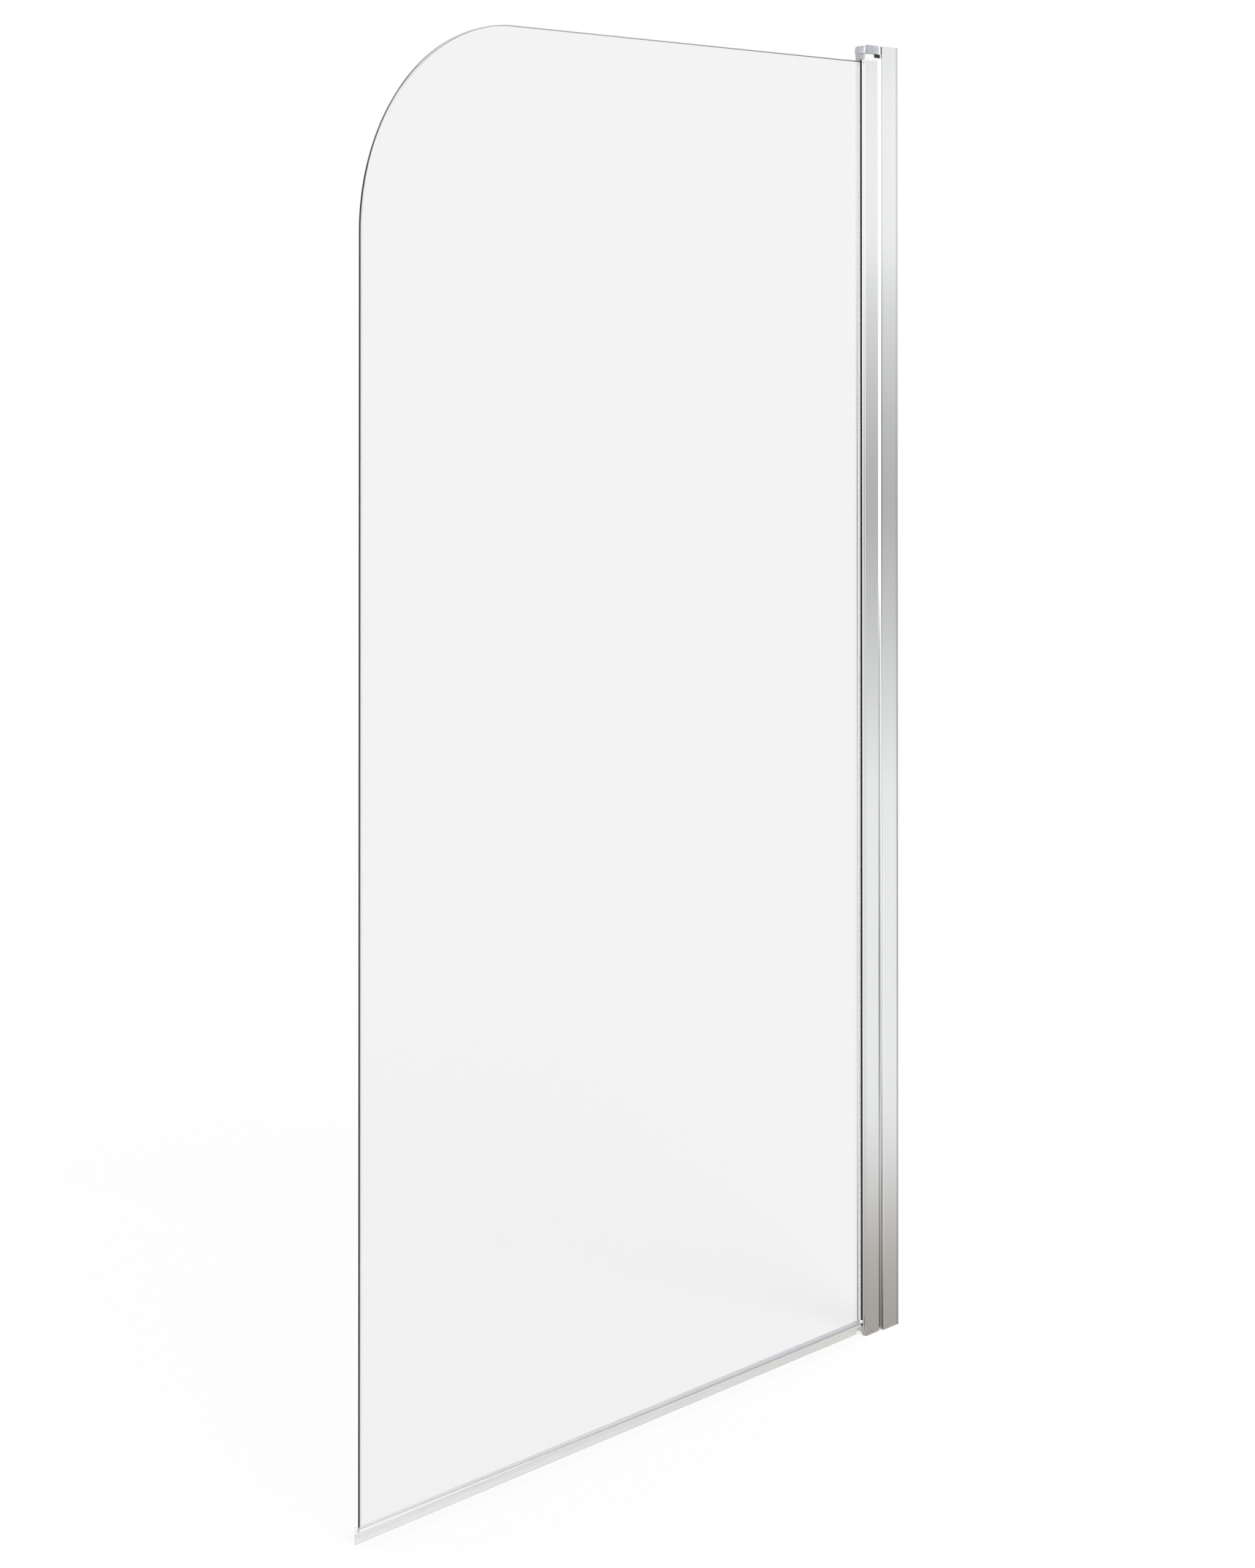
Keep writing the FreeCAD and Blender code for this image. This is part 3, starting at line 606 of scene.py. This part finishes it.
# The white nylon's end gets painted shade, the grey nylon's end painted light.
WHITE_NYLON = moulded_plastic("white_nylon", (0.86, 0.86, 0.86, 1), (0.92, 0.92, 0.92, 1),
                              rough=0.38, grain_scale=1500.0, specular=0.5, painted_end_tone=0.62)
GREY_NYLON = moulded_plastic("grey_nylon", (0.29, 0.285, 0.28, 1), (0.35, 0.345, 0.34, 1),
                             rough=0.42, grain_scale=1500.0, specular=0.4, painted_end_tone=2.3)
BLACK_ACETAL = moulded_plastic("black_acetal", (0.004, 0.004, 0.004, 1), (0.010, 0.010, 0.010, 1),
                               rough=0.4, grain_scale=1700.0, specular=0.25)
FLOAT_GLASS = float_glass()
GLASS_EDGE = glass_edge()
GROUND_ARRIS = ground_arris()
CLEAR_VINYL = clear_vinyl()
MILKY_VINYL = milky_vinyl()
BLACK_RUBBER = black_rubber()

FINISH_OF_NODE = {
    "wall_profile": WALL_ALUMINIUM,
    "wall_profile_top_cap": PLATED_TRIM,
    "adjuster_profile": SATIN_ALUMINIUM,
    "top_pivot_bracket": SATIN_CASTING,
    "top_pivot_pin": SCREW_STEEL,
    "bottom_pivot_bracket": BRIGHT_ALUMINIUM,
    "bottom_pivot_pin": SCREW_STEEL,
    "bottom_thrust_washer": SCREW_STEEL,
    "top_bracket_screws": SCREW_STEEL,
    "bottom_bracket_screws": SCREW_STEEL,
    "adjusting_screws": SCREW_STEEL,
    "adjusting_screw_washers": WHITE_NYLON,
    "adjusting_screw_caps": PLATED_TRIM,
    "pivot_profile": BRIGHT_ALUMINIUM,
    "top_end_plug": WHITE_NYLON,
    "top_plug_screw": SCREW_STEEL,
    "top_bush_clip": BLACK_ACETAL,
    "bottom_end_plug": GREY_NYLON,
    "glass_setting_pad": BLACK_RUBBER,
    "glass_panel": FLOAT_GLASS,
    "front_gasket": BLACK_RUBBER,
    "rear_gasket": MILKY_VINYL,
    "bath_seal": CLEAR_VINYL,
}


def finish_solids():
    for name, material in FINISH_OF_NODE.items():
        frame["nodes"][name].material_slots[0].material = material


# ---- shapes -------------------------------------------------------------------------------

SHARP_FROM = math.radians(32)         # an edge between two faces is sharp from this angle
EDGE_SHARE = 0.49                     # largest share of an edge that one rounding takes
PLAY = 0.05 * MM                      # gap that is left between pieces that touch


def finish_mesh(name, mesh_work, materials):
    """Turns a bmesh into a linked object, smooth except at its sharp edges."""
    bmesh.ops.recalc_face_normals(mesh_work, faces=mesh_work.faces)
    for face in mesh_work.faces:
        face.smooth = True
    mesh = bpy.data.meshes.new(name)
    mesh_work.to_mesh(mesh)
    mesh_work.free()
    mesh.set_sharp_from_angle(angle=SHARP_FROM)
    for material in materials:
        mesh.materials.append(material)
    piece = bpy.data.objects.new(name, mesh)
    bpy.context.scene.collection.objects.link(piece)
    return piece


def rounded(corners, steps=4):
    """Closed outline through (a, b, radius) corners, each rounded with its own radius."""
    outline = []
    for i, (a, b, radius) in enumerate(corners):
        here = Vector((a, b))
        to_last = Vector(corners[i - 1][:2]) - here
        to_next = Vector(corners[(i + 1) % len(corners)][:2]) - here
        if radius <= 0:
            outline.append(here)
            continue
        u, v = to_last.normalized(), to_next.normalized()
        half = u.angle(v) / 2
        reach = min(radius / math.tan(half), EDGE_SHARE * to_last.length,
                    EDGE_SHARE * to_next.length)
        centre = here + (u + v).normalized() * (reach / math.cos(half))
        spoke = here + u * reach - centre
        turn = spoke.angle_signed(here + v * reach - centre)
        for k in range(steps + 1):
            angle = math.atan2(spoke.y, spoke.x) - turn * k / steps
            outline.append(centre + spoke.length * Vector((math.cos(angle), math.sin(angle))))
    return outline


def sweep(work, rings, materials=None):
    """Skins rings that each have the same number of points, and caps both ends.

    The materials are an index for each strip between two rings, and one more for the caps.
    """
    rows = [[work.verts.new(p) for p in ring] for ring in rings]
    *strips, caps = materials or [0] * len(rows)
    count = len(rows[0])
    for low, high, index in zip(rows, rows[1:], strips):
        for i in range(count):
            j = (i + 1) % count
            work.faces.new((low[i], low[j], high[j], high[i])).material_index = index
    for row in (rows[0], rows[-1]):
        work.faces.new(row).material_index = caps


def upright_rings(outline, foot, head):
    """The same (x, y) outline at the foot and at the head of an upright extrusion."""
    return [[(p.x, p.y, z) for p in outline] for z in (foot, head)]


def upright_extrusion(name, outline, foot, head, material):
    work = bmesh.new()
    sweep(work, upright_rings(outline, foot, head))
    return finish_mesh(name, work, [material])


PANE_CORNER_RADIUS, PANE_CORNER_STEPS = 200 * MM, 120
PANE_SMALL_RADIUS, PANE_SMALL_STEPS = 2 * MM, 6
PANE_ARRIS = 1.0 * MM


def pane_outline(inset):
    """Outline of the pane in X and Z, drawn in by an inset."""
    low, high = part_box("glass_panel")
    left, right = low.x + inset, high.x - inset
    foot, head = low.z + inset, high.z - inset
    points = []

    def quarter(cx, cz, radius, start, steps):
        for k in range(steps + 1):
            angle = math.radians(start - 90 * k / steps)
            points.append((cx + radius * math.cos(angle), cz + radius * math.sin(angle)))

    small, large = PANE_SMALL_RADIUS - inset / 2, PANE_CORNER_RADIUS - inset
    quarter(left + small, foot + small, small, 270, PANE_SMALL_STEPS)
    quarter(left + large, head - large, large, 180, PANE_CORNER_STEPS)
    quarter(right - small, head - small, small, 90, PANE_SMALL_STEPS)
    quarter(right - small, foot + small, small, 0, PANE_SMALL_STEPS)
    return points


def glass_pane():
    """The pane with a fine rounded corner, a polished flat and two ground arrises."""
    low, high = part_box("glass_panel")
    full, drawn_in = pane_outline(0.0), pane_outline(PANE_ARRIS)
    outlines = ((drawn_in, low.y), (full, low.y + PANE_ARRIS),
                (full, high.y - PANE_ARRIS), (drawn_in, high.y))
    face, flat, arris = range(3)
    work = bmesh.new()
    sweep(work, [[(x, y, z) for x, z in outline] for outline, y in outlines],
          [arris, flat, arris, face])
    pane = finish_mesh("glass_pane", work, [FLOAT_GLASS, GLASS_EDGE, GROUND_ARRIS])
    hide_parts("glass_panel")
    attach(pane, "screen")


SEAL_WALL = 0.6 * MM
SEAL_WEB = (8.8 * MM, 9.8 * MM)       # foot and top of the web under the pane
SEAL_LIP_RADIUS = 0.28 * MM
FRONT_LIP_FROM = 11.8 * MM            # points of the front flange over this are its lip
# Section of the fin, down one side and up the other: distance behind the rear flange's inner
# face, height and radius.
FIN = [tuple(part * MM for part in corner) for corner in (
    (-1.0, 8.8, 0.3), (-1.2, 5.0, 2.0), (-0.9, 1.6, 1.0), (-0.5, 0.0, 0.2), (0.1, 0.0, 0.25),
    (0.3, 2.0, 1.0), (0.5, 5.0, 2.0))]
FIN_RIPPLE = 0.22 * MM
FIN_WAVES = ((0.5, 31.0, 0.0), (0.3, 83.0, 1.1), (0.2, 211.0, 0.4))   # share, pace and phase
SEAL_TRIM = 2.6 * MM                  # at the hinge the fin is cut away over this length,
SEAL_TRIM_HEIGHT = 3.6 * MM           # up to this height
SEAL_TRIM_STEP = 0.01 * MM
SEAL_PITCHES = 240
MERGE_WITHIN = 1e-7


def fin_ripple(x):
    """Slow irregular wave along the fin's soft lower edge."""
    return FIN_RIPPLE * sum(share * math.sin(x * pace + phase) for share, pace, phase in FIN_WAVES)


def foot_seal():
    """Clear channel that grips the foot of the pane, with a soft fin down to the bath's rim."""
    low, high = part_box("bath_seal")
    glass_low, glass_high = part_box("glass_panel")
    front, rear, top = glass_low.y - PLAY, glass_high.y + PLAY, high.z
    web_foot, web_top = SEAL_WEB
    lip = SEAL_LIP_RADIUS
    outline = rounded([
        (rear + SEAL_WALL, top, lip), (rear, top, lip), (rear, web_top, 0.1 * MM),
        (front, web_top, 0.1 * MM), (front, top, lip), (front - SEAL_WALL, top, lip),
        (front - SEAL_WALL, web_foot, 0.6 * MM),
        *((rear + behind, height, radius) for behind, height, radius in FIN)])
    trimmed_from = high.x - SEAL_TRIM
    stations = [low.x + (trimmed_from - low.x) * k / SEAL_PITCHES
                for k in range(SEAL_PITCHES + 1)]

    def ring(x, lift):
        along = (x - FRONT_FLANGE_DIP[0]) / (FRONT_FLANGE_DIP[1] - FRONT_FLANGE_DIP[0])
        high_front, low_front = FRONT_FLANGE_TOP
        front_top = high_front + (low_front - high_front) * min(max(along, 0.0), 1.0)
        points = []
        for p in outline:
            depth = max(0.0, 1 - p.y / web_foot)
            height = max(p.y, lift)
            if p.x < glass_low.y and p.y > FRONT_LIP_FROM:
                height -= top - front_top
            points.append((x, p.x + fin_ripple(x) * depth, height))
        return points

    rings = [ring(x, 0.0) for x in stations]
    rings += [ring(x, SEAL_TRIM_HEIGHT) for x in (trimmed_from + SEAL_TRIM_STEP, high.x)]
    work = bmesh.new()
    sweep(work, rings)
    bmesh.ops.remove_doubles(work, verts=work.verts, dist=MERGE_WITHIN)
    seal = finish_mesh("foot_seal", work, [CLEAR_VINYL])
    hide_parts("bath_seal")
    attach(seal, "screen")


RIDGE_Y = (-4.9 * MM, -4.0 * MM, -3.3 * MM)       # where the ridge starts, peaks and ends
RIDGE_RISE = 0.75 * MM
RIDGE_ROOT = 0.3 * MM                 # how deep it stands in the profile's lip
RIDGE_INSET = 0.2 * MM                # from the profile's ends


def lip_ridge():
    """Fine ridge along the front lip of the pivot profile, beside the black strip."""
    low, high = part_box("pivot_profile")
    front, crest, rear = RIDGE_Y
    root, skin = low.x + RIDGE_ROOT, low.x
    outline = rounded([(root, front, 0), (skin, front, 0), (skin - RIDGE_RISE, crest, 0.15 * MM),
                       (skin, rear, 0.1 * MM), (root, rear, 0)])
    ridge = upright_extrusion("lip_ridge", outline, low.z + RIDGE_INSET, high.z - RIDGE_INSET,
                              BRIGHT_ALUMINIUM)
    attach(ridge, "screen")


def block(work, x0, x1, y0, y1, z0, z1):
    sweep(work, [[(x, y0, z0), (x, y1, z0), (x, y1, z1), (x, y0, z1)] for x in (x0, x1)])


HEAD_END = -30.6 * MM                 # right end of the cast head
HEAD_ROUNDING = (2.4 * MM, 0.4 * MM)  # of its left end and of its right end
HEAD_STEPS = 6
HEAD_TOP_EASE = 0.8                   # share of that rounding that lowers the top
HEAD_WING = (-30.6 * MM, -28.2 * MM, 8.2 * MM)    # satin wing beside it, which takes that finish's painted glow and shade, and its half width
HEAD_WING_DROP = 0.3 * MM
HEAD_TONGUE_TOP = 1397.55 * MM
HEAD_SHOULDER = 2.6 * MM
FOOT_END = -32.0 * MM
FOOT_CUT = (10 * MM, -3.4 * MM)       # cut from this far along X to this Y at the back left
FOOT_ROOT_TOP = 3 * MM
ROOT_OVERLAP = 1 * MM                 # how far a tongue starts inside its bracket
BRACKET_TONGUE = (-7.6 * MM, 5.5 * MM)            # its end, and half its width
BRACKET_SHOULDER = (-27.6 * MM, -9.4 * MM, 8.0 * MM)
LUG_PLACES = ((-27.6 * MM, -18.6 * MM), (-16.6 * MM, -9.4 * MM))
LUG_LENGTH = 9 * MM
LUG_FROM_MIDDLE = 3.6 * MM
ADJUSTER_WALL = 1.4 * MM              # wall and clearance between a lug and the outside


def bracket_root(work, start, tongue_low, tongue_high, shoulder_low, shoulder_high, lug_low):
    """Tongue, shoulder and locating lugs of a bracket, inside the adjusting profile's end."""
    end, half = BRACKET_TONGUE
    left, right, reach = BRACKET_SHOULDER
    block(work, start, end, -half, half, tongue_low, tongue_high)
    block(work, left, right, -reach, reach, shoulder_low, shoulder_high)
    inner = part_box("adjuster_profile")[1].y - ADJUSTER_WALL
    for x0, x1 in LUG_PLACES:
        for y0, y1 in ((-inner, -LUG_FROM_MIDDLE), (LUG_FROM_MIDDLE, inner)):
            block(work, x0, x1, y0, y1, lug_low, lug_low + LUG_LENGTH)


def top_bracket():
    """Cast head over the pivot profile, softly rounded at the back, with its hidden root."""
    low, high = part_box("top_pivot_bracket")
    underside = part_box("adjuster_profile")[1].z
    work = bmesh.new()
    rings = []
    left_round, right_round = HEAD_ROUNDING
    turns = [math.radians(90 * k / HEAD_STEPS) for k in range(HEAD_STEPS + 1)]
    stations = [(low.x + left_round * (1 - math.cos(a)), left_round * (1 - math.sin(a)))
                for a in turns]
    stations += [(HEAD_END - right_round * (1 - math.cos(a)), right_round * (1 - math.sin(a)))
                 for a in reversed(turns)]
    for x, inset in stations:
        front, rear, top = low.y + inset, high.y - inset, high.z - HEAD_TOP_EASE * inset
        outline = rounded([(front, underside, 0), (front, top, 0.7 * MM),
                           (rear, top, 4.2 * MM), (rear, underside, 0)], steps=6)
        rings.append([(x, p.x, p.y) for p in outline])
    sweep(work, rings)
    x0, x1, half = HEAD_WING
    wing = rounded([(x0, -half, 1.4 * MM), (x1, -half, 0.6 * MM), (x1, half, 0.6 * MM),
                    (x0, half, 1.4 * MM)])
    sweep(work, upright_rings(wing, underside, high.z - HEAD_WING_DROP), [1, 1])
    bracket_root(work, HEAD_END - ROOT_OVERLAP, underside, HEAD_TONGUE_TOP, underside,
                 underside + HEAD_SHOULDER, underside - LUG_LENGTH)
    bracket = finish_mesh("top_bracket", work, [SATIN_CASTING, SATIN_ALUMINIUM])
    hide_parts("top_pivot_bracket")
    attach(bracket, "adjuster")


def foot_bracket():
    """Flat foot that carries the pivot profile, cut away at the back beside the seal."""
    low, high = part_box("bottom_pivot_bracket")
    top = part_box("bottom_end_plug")[0].z - PLAY
    cut_length, cut_y = FOOT_CUT
    outline = rounded([(low.x, low.y, 0.9 * MM), (FOOT_END, low.y, 0.9 * MM),
                       (FOOT_END, high.y, 0.9 * MM), (low.x + cut_length, high.y, 3 * MM),
                       (low.x, cut_y, 1.0 * MM)])
    work = bmesh.new()
    sweep(work, upright_rings(outline, low.z, top))
    bracket_root(work, FOOT_END - ROOT_OVERLAP, low.z + PLAY, FOOT_ROOT_TOP, low.z,
                 FOOT_ROOT_TOP, FOOT_ROOT_TOP)
    bracket = finish_mesh("foot_bracket", work, [BRIGHT_ALUMINIUM])
    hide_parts("bottom_pivot_bracket")
    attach(bracket, "adjuster")


FRONT_STRIP_REACH = 0.55 * MM         # how far its lip goes over the pane past the solid
FRONT_STRIP_LIP = 1.9 * MM            # thickness of the lip
FRONT_STRIP_RIB = (-53.4 * MM, -47.7 * MM)        # X of the rib that the profile holds
REAR_STRIP_LIP = 1.3 * MM
REAR_STRIP_RIB = (-54.3 * MM, -48.9 * MM)
REAR_STRIP_LIFT = 0.2 * MM            # its foot over the foot of the pane


def front_glazing_strip():
    """Black strip between the pane and the front lips, with a rounded lip that shows."""
    low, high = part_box("front_gasket")
    lip, face, back = low.x - FRONT_STRIP_REACH, high.y, high.y - FRONT_STRIP_LIP
    rib_left, rib_right = FRONT_STRIP_RIB
    outline = rounded([
        (lip, face, 0.2 * MM), (lip, back, 0.3 * MM), (rib_left, back, 0.1 * MM),
        (rib_left, low.y, 0.4 * MM), (rib_right, low.y, 0.4 * MM), (rib_right, back, 0.1 * MM),
        (high.x, back, 0.5 * MM), (high.x, face, 0.4 * MM)])
    strip = upright_extrusion("front_glazing_strip", outline, low.z, high.z, BLACK_RUBBER)
    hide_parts("front_gasket")
    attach(strip, "screen")


def rear_glazing_strip():
    """Pale strip behind the pane. It goes down past the end of the seal to the end plug."""
    low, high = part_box("rear_gasket")
    face, back = low.y, low.y + REAR_STRIP_LIP
    rib_left, rib_right = REAR_STRIP_RIB
    outline = rounded([
        (low.x, face, 0.3 * MM), (high.x, face, 0.3 * MM), (high.x, back, 0.3 * MM),
        (rib_right, back, 0.1 * MM), (rib_right, high.y, 0.3 * MM), (rib_left, high.y, 0.3 * MM),
        (rib_left, back, 0.1 * MM), (low.x, back, 0.5 * MM)])
    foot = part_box("glass_panel")[0].z + REAR_STRIP_LIFT
    strip = upright_extrusion("rear_glazing_strip", outline, foot, high.z, MILKY_VINYL)
    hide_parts("rear_gasket")
    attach(strip, "screen")


TURNED_STEPS = 40
DOME_STEPS = 8
DOME_WALL = 1.0 * MM
DOME_RIM = 0.9 * MM                   # height of the plain rim,
DOME_BEVEL = 0.2 * MM                 # its bevel,
DOME_STEP = 0.35 * MM                 # and how much narrower the crown is than the rim


def turned(work, profile, place):
    """Turns an (r, height) profile about the line through place along Y, towards +Y."""
    rows = []
    for radius, height in profile:
        count = TURNED_STEPS if radius > 0 else 1
        angles = [2 * math.pi * k / TURNED_STEPS for k in range(count)]
        rows.append([work.verts.new((place[0] + radius * math.cos(a), place[1] + height,
                                     place[2] + radius * math.sin(a))) for a in angles])
    for inner, outer in zip(rows, rows[1:]):
        for k in range(TURNED_STEPS):
            after = (k + 1) % TURNED_STEPS
            ring = [inner[k % len(inner)], inner[after % len(inner)],
                    outer[after % len(outer)], outer[k % len(outer)]]
            work.faces.new(dict.fromkeys(ring))


def screw_domes():
    """Hollow snap-on covers of the adjusting screws: a plain rim under a shallow crown."""
    low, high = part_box("adjusting_screw_caps")
    radius = (high.x - low.x) / 2
    crown, hollow = high.y - low.y, high.y - low.y - DOME_WALL
    arc = [math.radians(90 * k / DOME_STEPS) for k in range(DOME_STEPS + 1)]
    outside = [((radius - DOME_STEP) * math.sin(a), DOME_RIM + (crown - DOME_RIM) * math.cos(a))
               for a in arc]
    inside = [((radius - DOME_WALL) * math.sin(a), hollow * math.cos(a)) for a in reversed(arc)]
    profile = outside + [(radius, DOME_RIM - DOME_BEVEL), (radius, 0.0)] + inside
    profile[0], profile[-1] = (0.0, crown), (0.0, hollow)
    work = bmesh.new()
    for height in (low.z + radius, (low.z + high.z) / 2, high.z - radius):
        turned(work, profile, ((low.x + high.x) / 2, low.y, height))
    domes = finish_mesh("screw_domes", work, [PLATED_TRIM])
    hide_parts("adjusting_screw_caps")
    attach(domes, "adjuster")


# ---- studio -------------------------------------------------------------------------------

# Brightness that metal sees at each elevation in degrees, from the floor up to the ceiling.
STUDIO_GLOW = ((-40, 0.62), (-18.4, 0.435), (-17.2, 0.54), (-15.7, 0.82), (-14.8, 0.98),
               (-8.9, 0.98), (-7.7, 0.83), (-5.2, 0.585), (-3.6, 0.46), (-2.2, 0.53), (0.1, 0.75),
               (1.3, 0.97), (4.2, 0.97), (5.0, 0.88), (9.0, 0.9), (30, 1.0))
WARM_FLOOR = (1.0, 0.945, 0.88)       # tint of the lowest part of that glow,
WARM_BELOW = -16.5                    # below this elevation
WINDOW_AZIMUTH = math.radians(41.463) # two tall windows face each other along this line
WINDOW_ANGLES = (80, 52)              # degrees off it where a window begins and where it is full
WINDOW_RISE = (-9.5, -1.0)            # elevations between which a window brightens, in degrees
WINDOW_GLOW = (0.12, 0.9)             # what it adds to the glow below and above them
# Grey screens: the direction of each, and how many degrees off it that screen begins and is full.
FLAGS = (((0.0, -1.0, 0.0), (40, 24)), ((1.0, 0.0, 0.0), (24, 12)))
FLAG_SHARE = 0.5                      # share of the glow that a grey screen leaves
WORLD_LIGHT = 0.55                    # what diffuse surfaces receive from all round
SUNS = (("room_side_sun", (-0.15, -0.75, 0.65), 1.7), ("bath_side_sun", (-0.35, 0.7, 0.75), 0.5))
SUN_ANGLE = math.radians(38)
FLOOR_REACH = 30.0
FLOOR_SHARE = 0.25                    # share of the floor's brightness that a shadow can take
FLOOR_GREY = 0.8                      # tone of the floor for all that the camera doesn't see


def cosine(tree, direction, line):
    towards = add(tree, "ShaderNodeVectorMath", {0: direction, 1: line}, operation="DOT_PRODUCT")
    return towards.outputs["Value"]


def cosines(degrees):
    return [math.cos(math.radians(angle)) for angle in degrees]


def studio_world():
    world = bpy.data.worlds.new("studio")
    bpy.context.scene.world = world
    world.use_nodes = True
    tree = world.node_tree
    background = tree.nodes["Background"]
    direction = add(tree, "ShaderNodeTexCoord").outputs["Generated"]
    height = add(tree, "ShaderNodeSeparateXYZ", {0: direction}).outputs[2]
    elevation = product(tree, maths(tree, "ARCSINE", height), 180 / math.pi)
    stops = []
    for degrees, value in STUDIO_GLOW:
        tint = WARM_FLOOR if degrees < WARM_BELOW else (1.0, 1.0, 1.0)
        stops.append((degrees, (*(value * part for part in tint), 1.0)))
    glow = ramp_through(tree, elevation, stops)
    line = (math.cos(WINDOW_AZIMUTH), math.sin(WINDOW_AZIMUTH), 0.0)
    either_way = maths(tree, "ABSOLUTE", cosine(tree, direction, line))
    added = product(tree, past(tree, either_way, cosines(WINDOW_ANGLES)),
                    spread(tree, elevation, *WINDOW_RISE, *WINDOW_GLOW))
    glow = add(tree, "ShaderNodeVectorMath", {0: glow, 1: added}, operation="ADD").outputs[0]
    for line, angles in FLAGS:
        left_over = spread(tree, cosine(tree, direction, line), *cosines(angles), 1.0, FLAG_SHARE)
        glow = add(tree, "ShaderNodeVectorMath", {0: glow, 1: left_over},
                   operation="MULTIPLY").outputs[0]
    path = add(tree, "ShaderNodeLightPath").outputs
    sharp_mirror = product(tree, path["Is Glossy Ray"], path["Is Singular Ray"])
    seen = maths(tree, "MAXIMUM", path["Is Camera Ray"], path["Is Transmission Ray"])
    white = maths(tree, "MAXIMUM", seen, sharp_mirror)
    lit = blend(tree, path["Is Glossy Ray"], grey(WORLD_LIGHT), glow)
    wire(tree, background, Color=blend(tree, white, lit, grey(1.0)), Strength=1.0)


def pale_floor():
    """Pale floor that reads as white in the picture and keeps a soft shadow."""
    near, far = -FLOOR_REACH, FLOOR_REACH
    work = bmesh.new()
    corners = [(near, near, 0.0), (far, near, 0.0), (far, far, 0.0), (near, far, 0.0)]
    work.faces.new([work.verts.new(c) for c in corners])
    material, tree, _, _ = new_material("pale_floor")
    tree.nodes.clear()
    received = WORLD_LIGHT
    for _, direction, power in SUNS:
        received += power * Vector(direction).normalized().z / math.pi
    shadowed = add(tree, "ShaderNodeBsdfDiffuse", {"Color": grey(FLOOR_SHARE / received)})
    glowing = add(tree, "ShaderNodeEmission", {"Color": grey(1.0), "Strength": 1 - FLOOR_SHARE})
    both = add(tree, "ShaderNodeAddShader", {0: shadowed.outputs[0], 1: glowing.outputs[0]})
    plain = add(tree, "ShaderNodeBsdfDiffuse", {"Color": grey(FLOOR_GREY)})
    path = add(tree, "ShaderNodeLightPath").outputs
    seen = maths(tree, "MAXIMUM", path["Is Camera Ray"], path["Is Transmission Ray"])
    mix = add(tree, "ShaderNodeMixShader", {0: seen, 1: plain.outputs[0], 2: both.outputs[0]})
    output = add(tree, "ShaderNodeOutputMaterial")
    tree.links.new(mix.outputs[0], output.inputs["Surface"])
    floor = finish_mesh("pale_floor", work, [material])
    floor.visible_glossy = False


def sun(name, direction, power):
    light = bpy.data.lights.new(name, "SUN")
    light.energy = power
    light.angle = SUN_ANGLE
    lamp = bpy.data.objects.new(name, light)
    lamp.rotation_euler = Vector(direction).to_track_quat("Z", "Y").to_euler()
    bpy.context.scene.collection.objects.link(lamp)


def studio():
    bpy.context.scene.view_settings.view_transform = "Standard"
    studio_world()
    pale_floor()
    for name, direction, power in SUNS:
        sun(name, direction, power)


# ---- the screen ---------------------------------------------------------------------------

photographer()
finish_solids()
glass_pane()
foot_seal()
front_glazing_strip()
rear_glazing_strip()
screw_domes()
top_bracket()
foot_bracket()
lip_ridge()
studio()
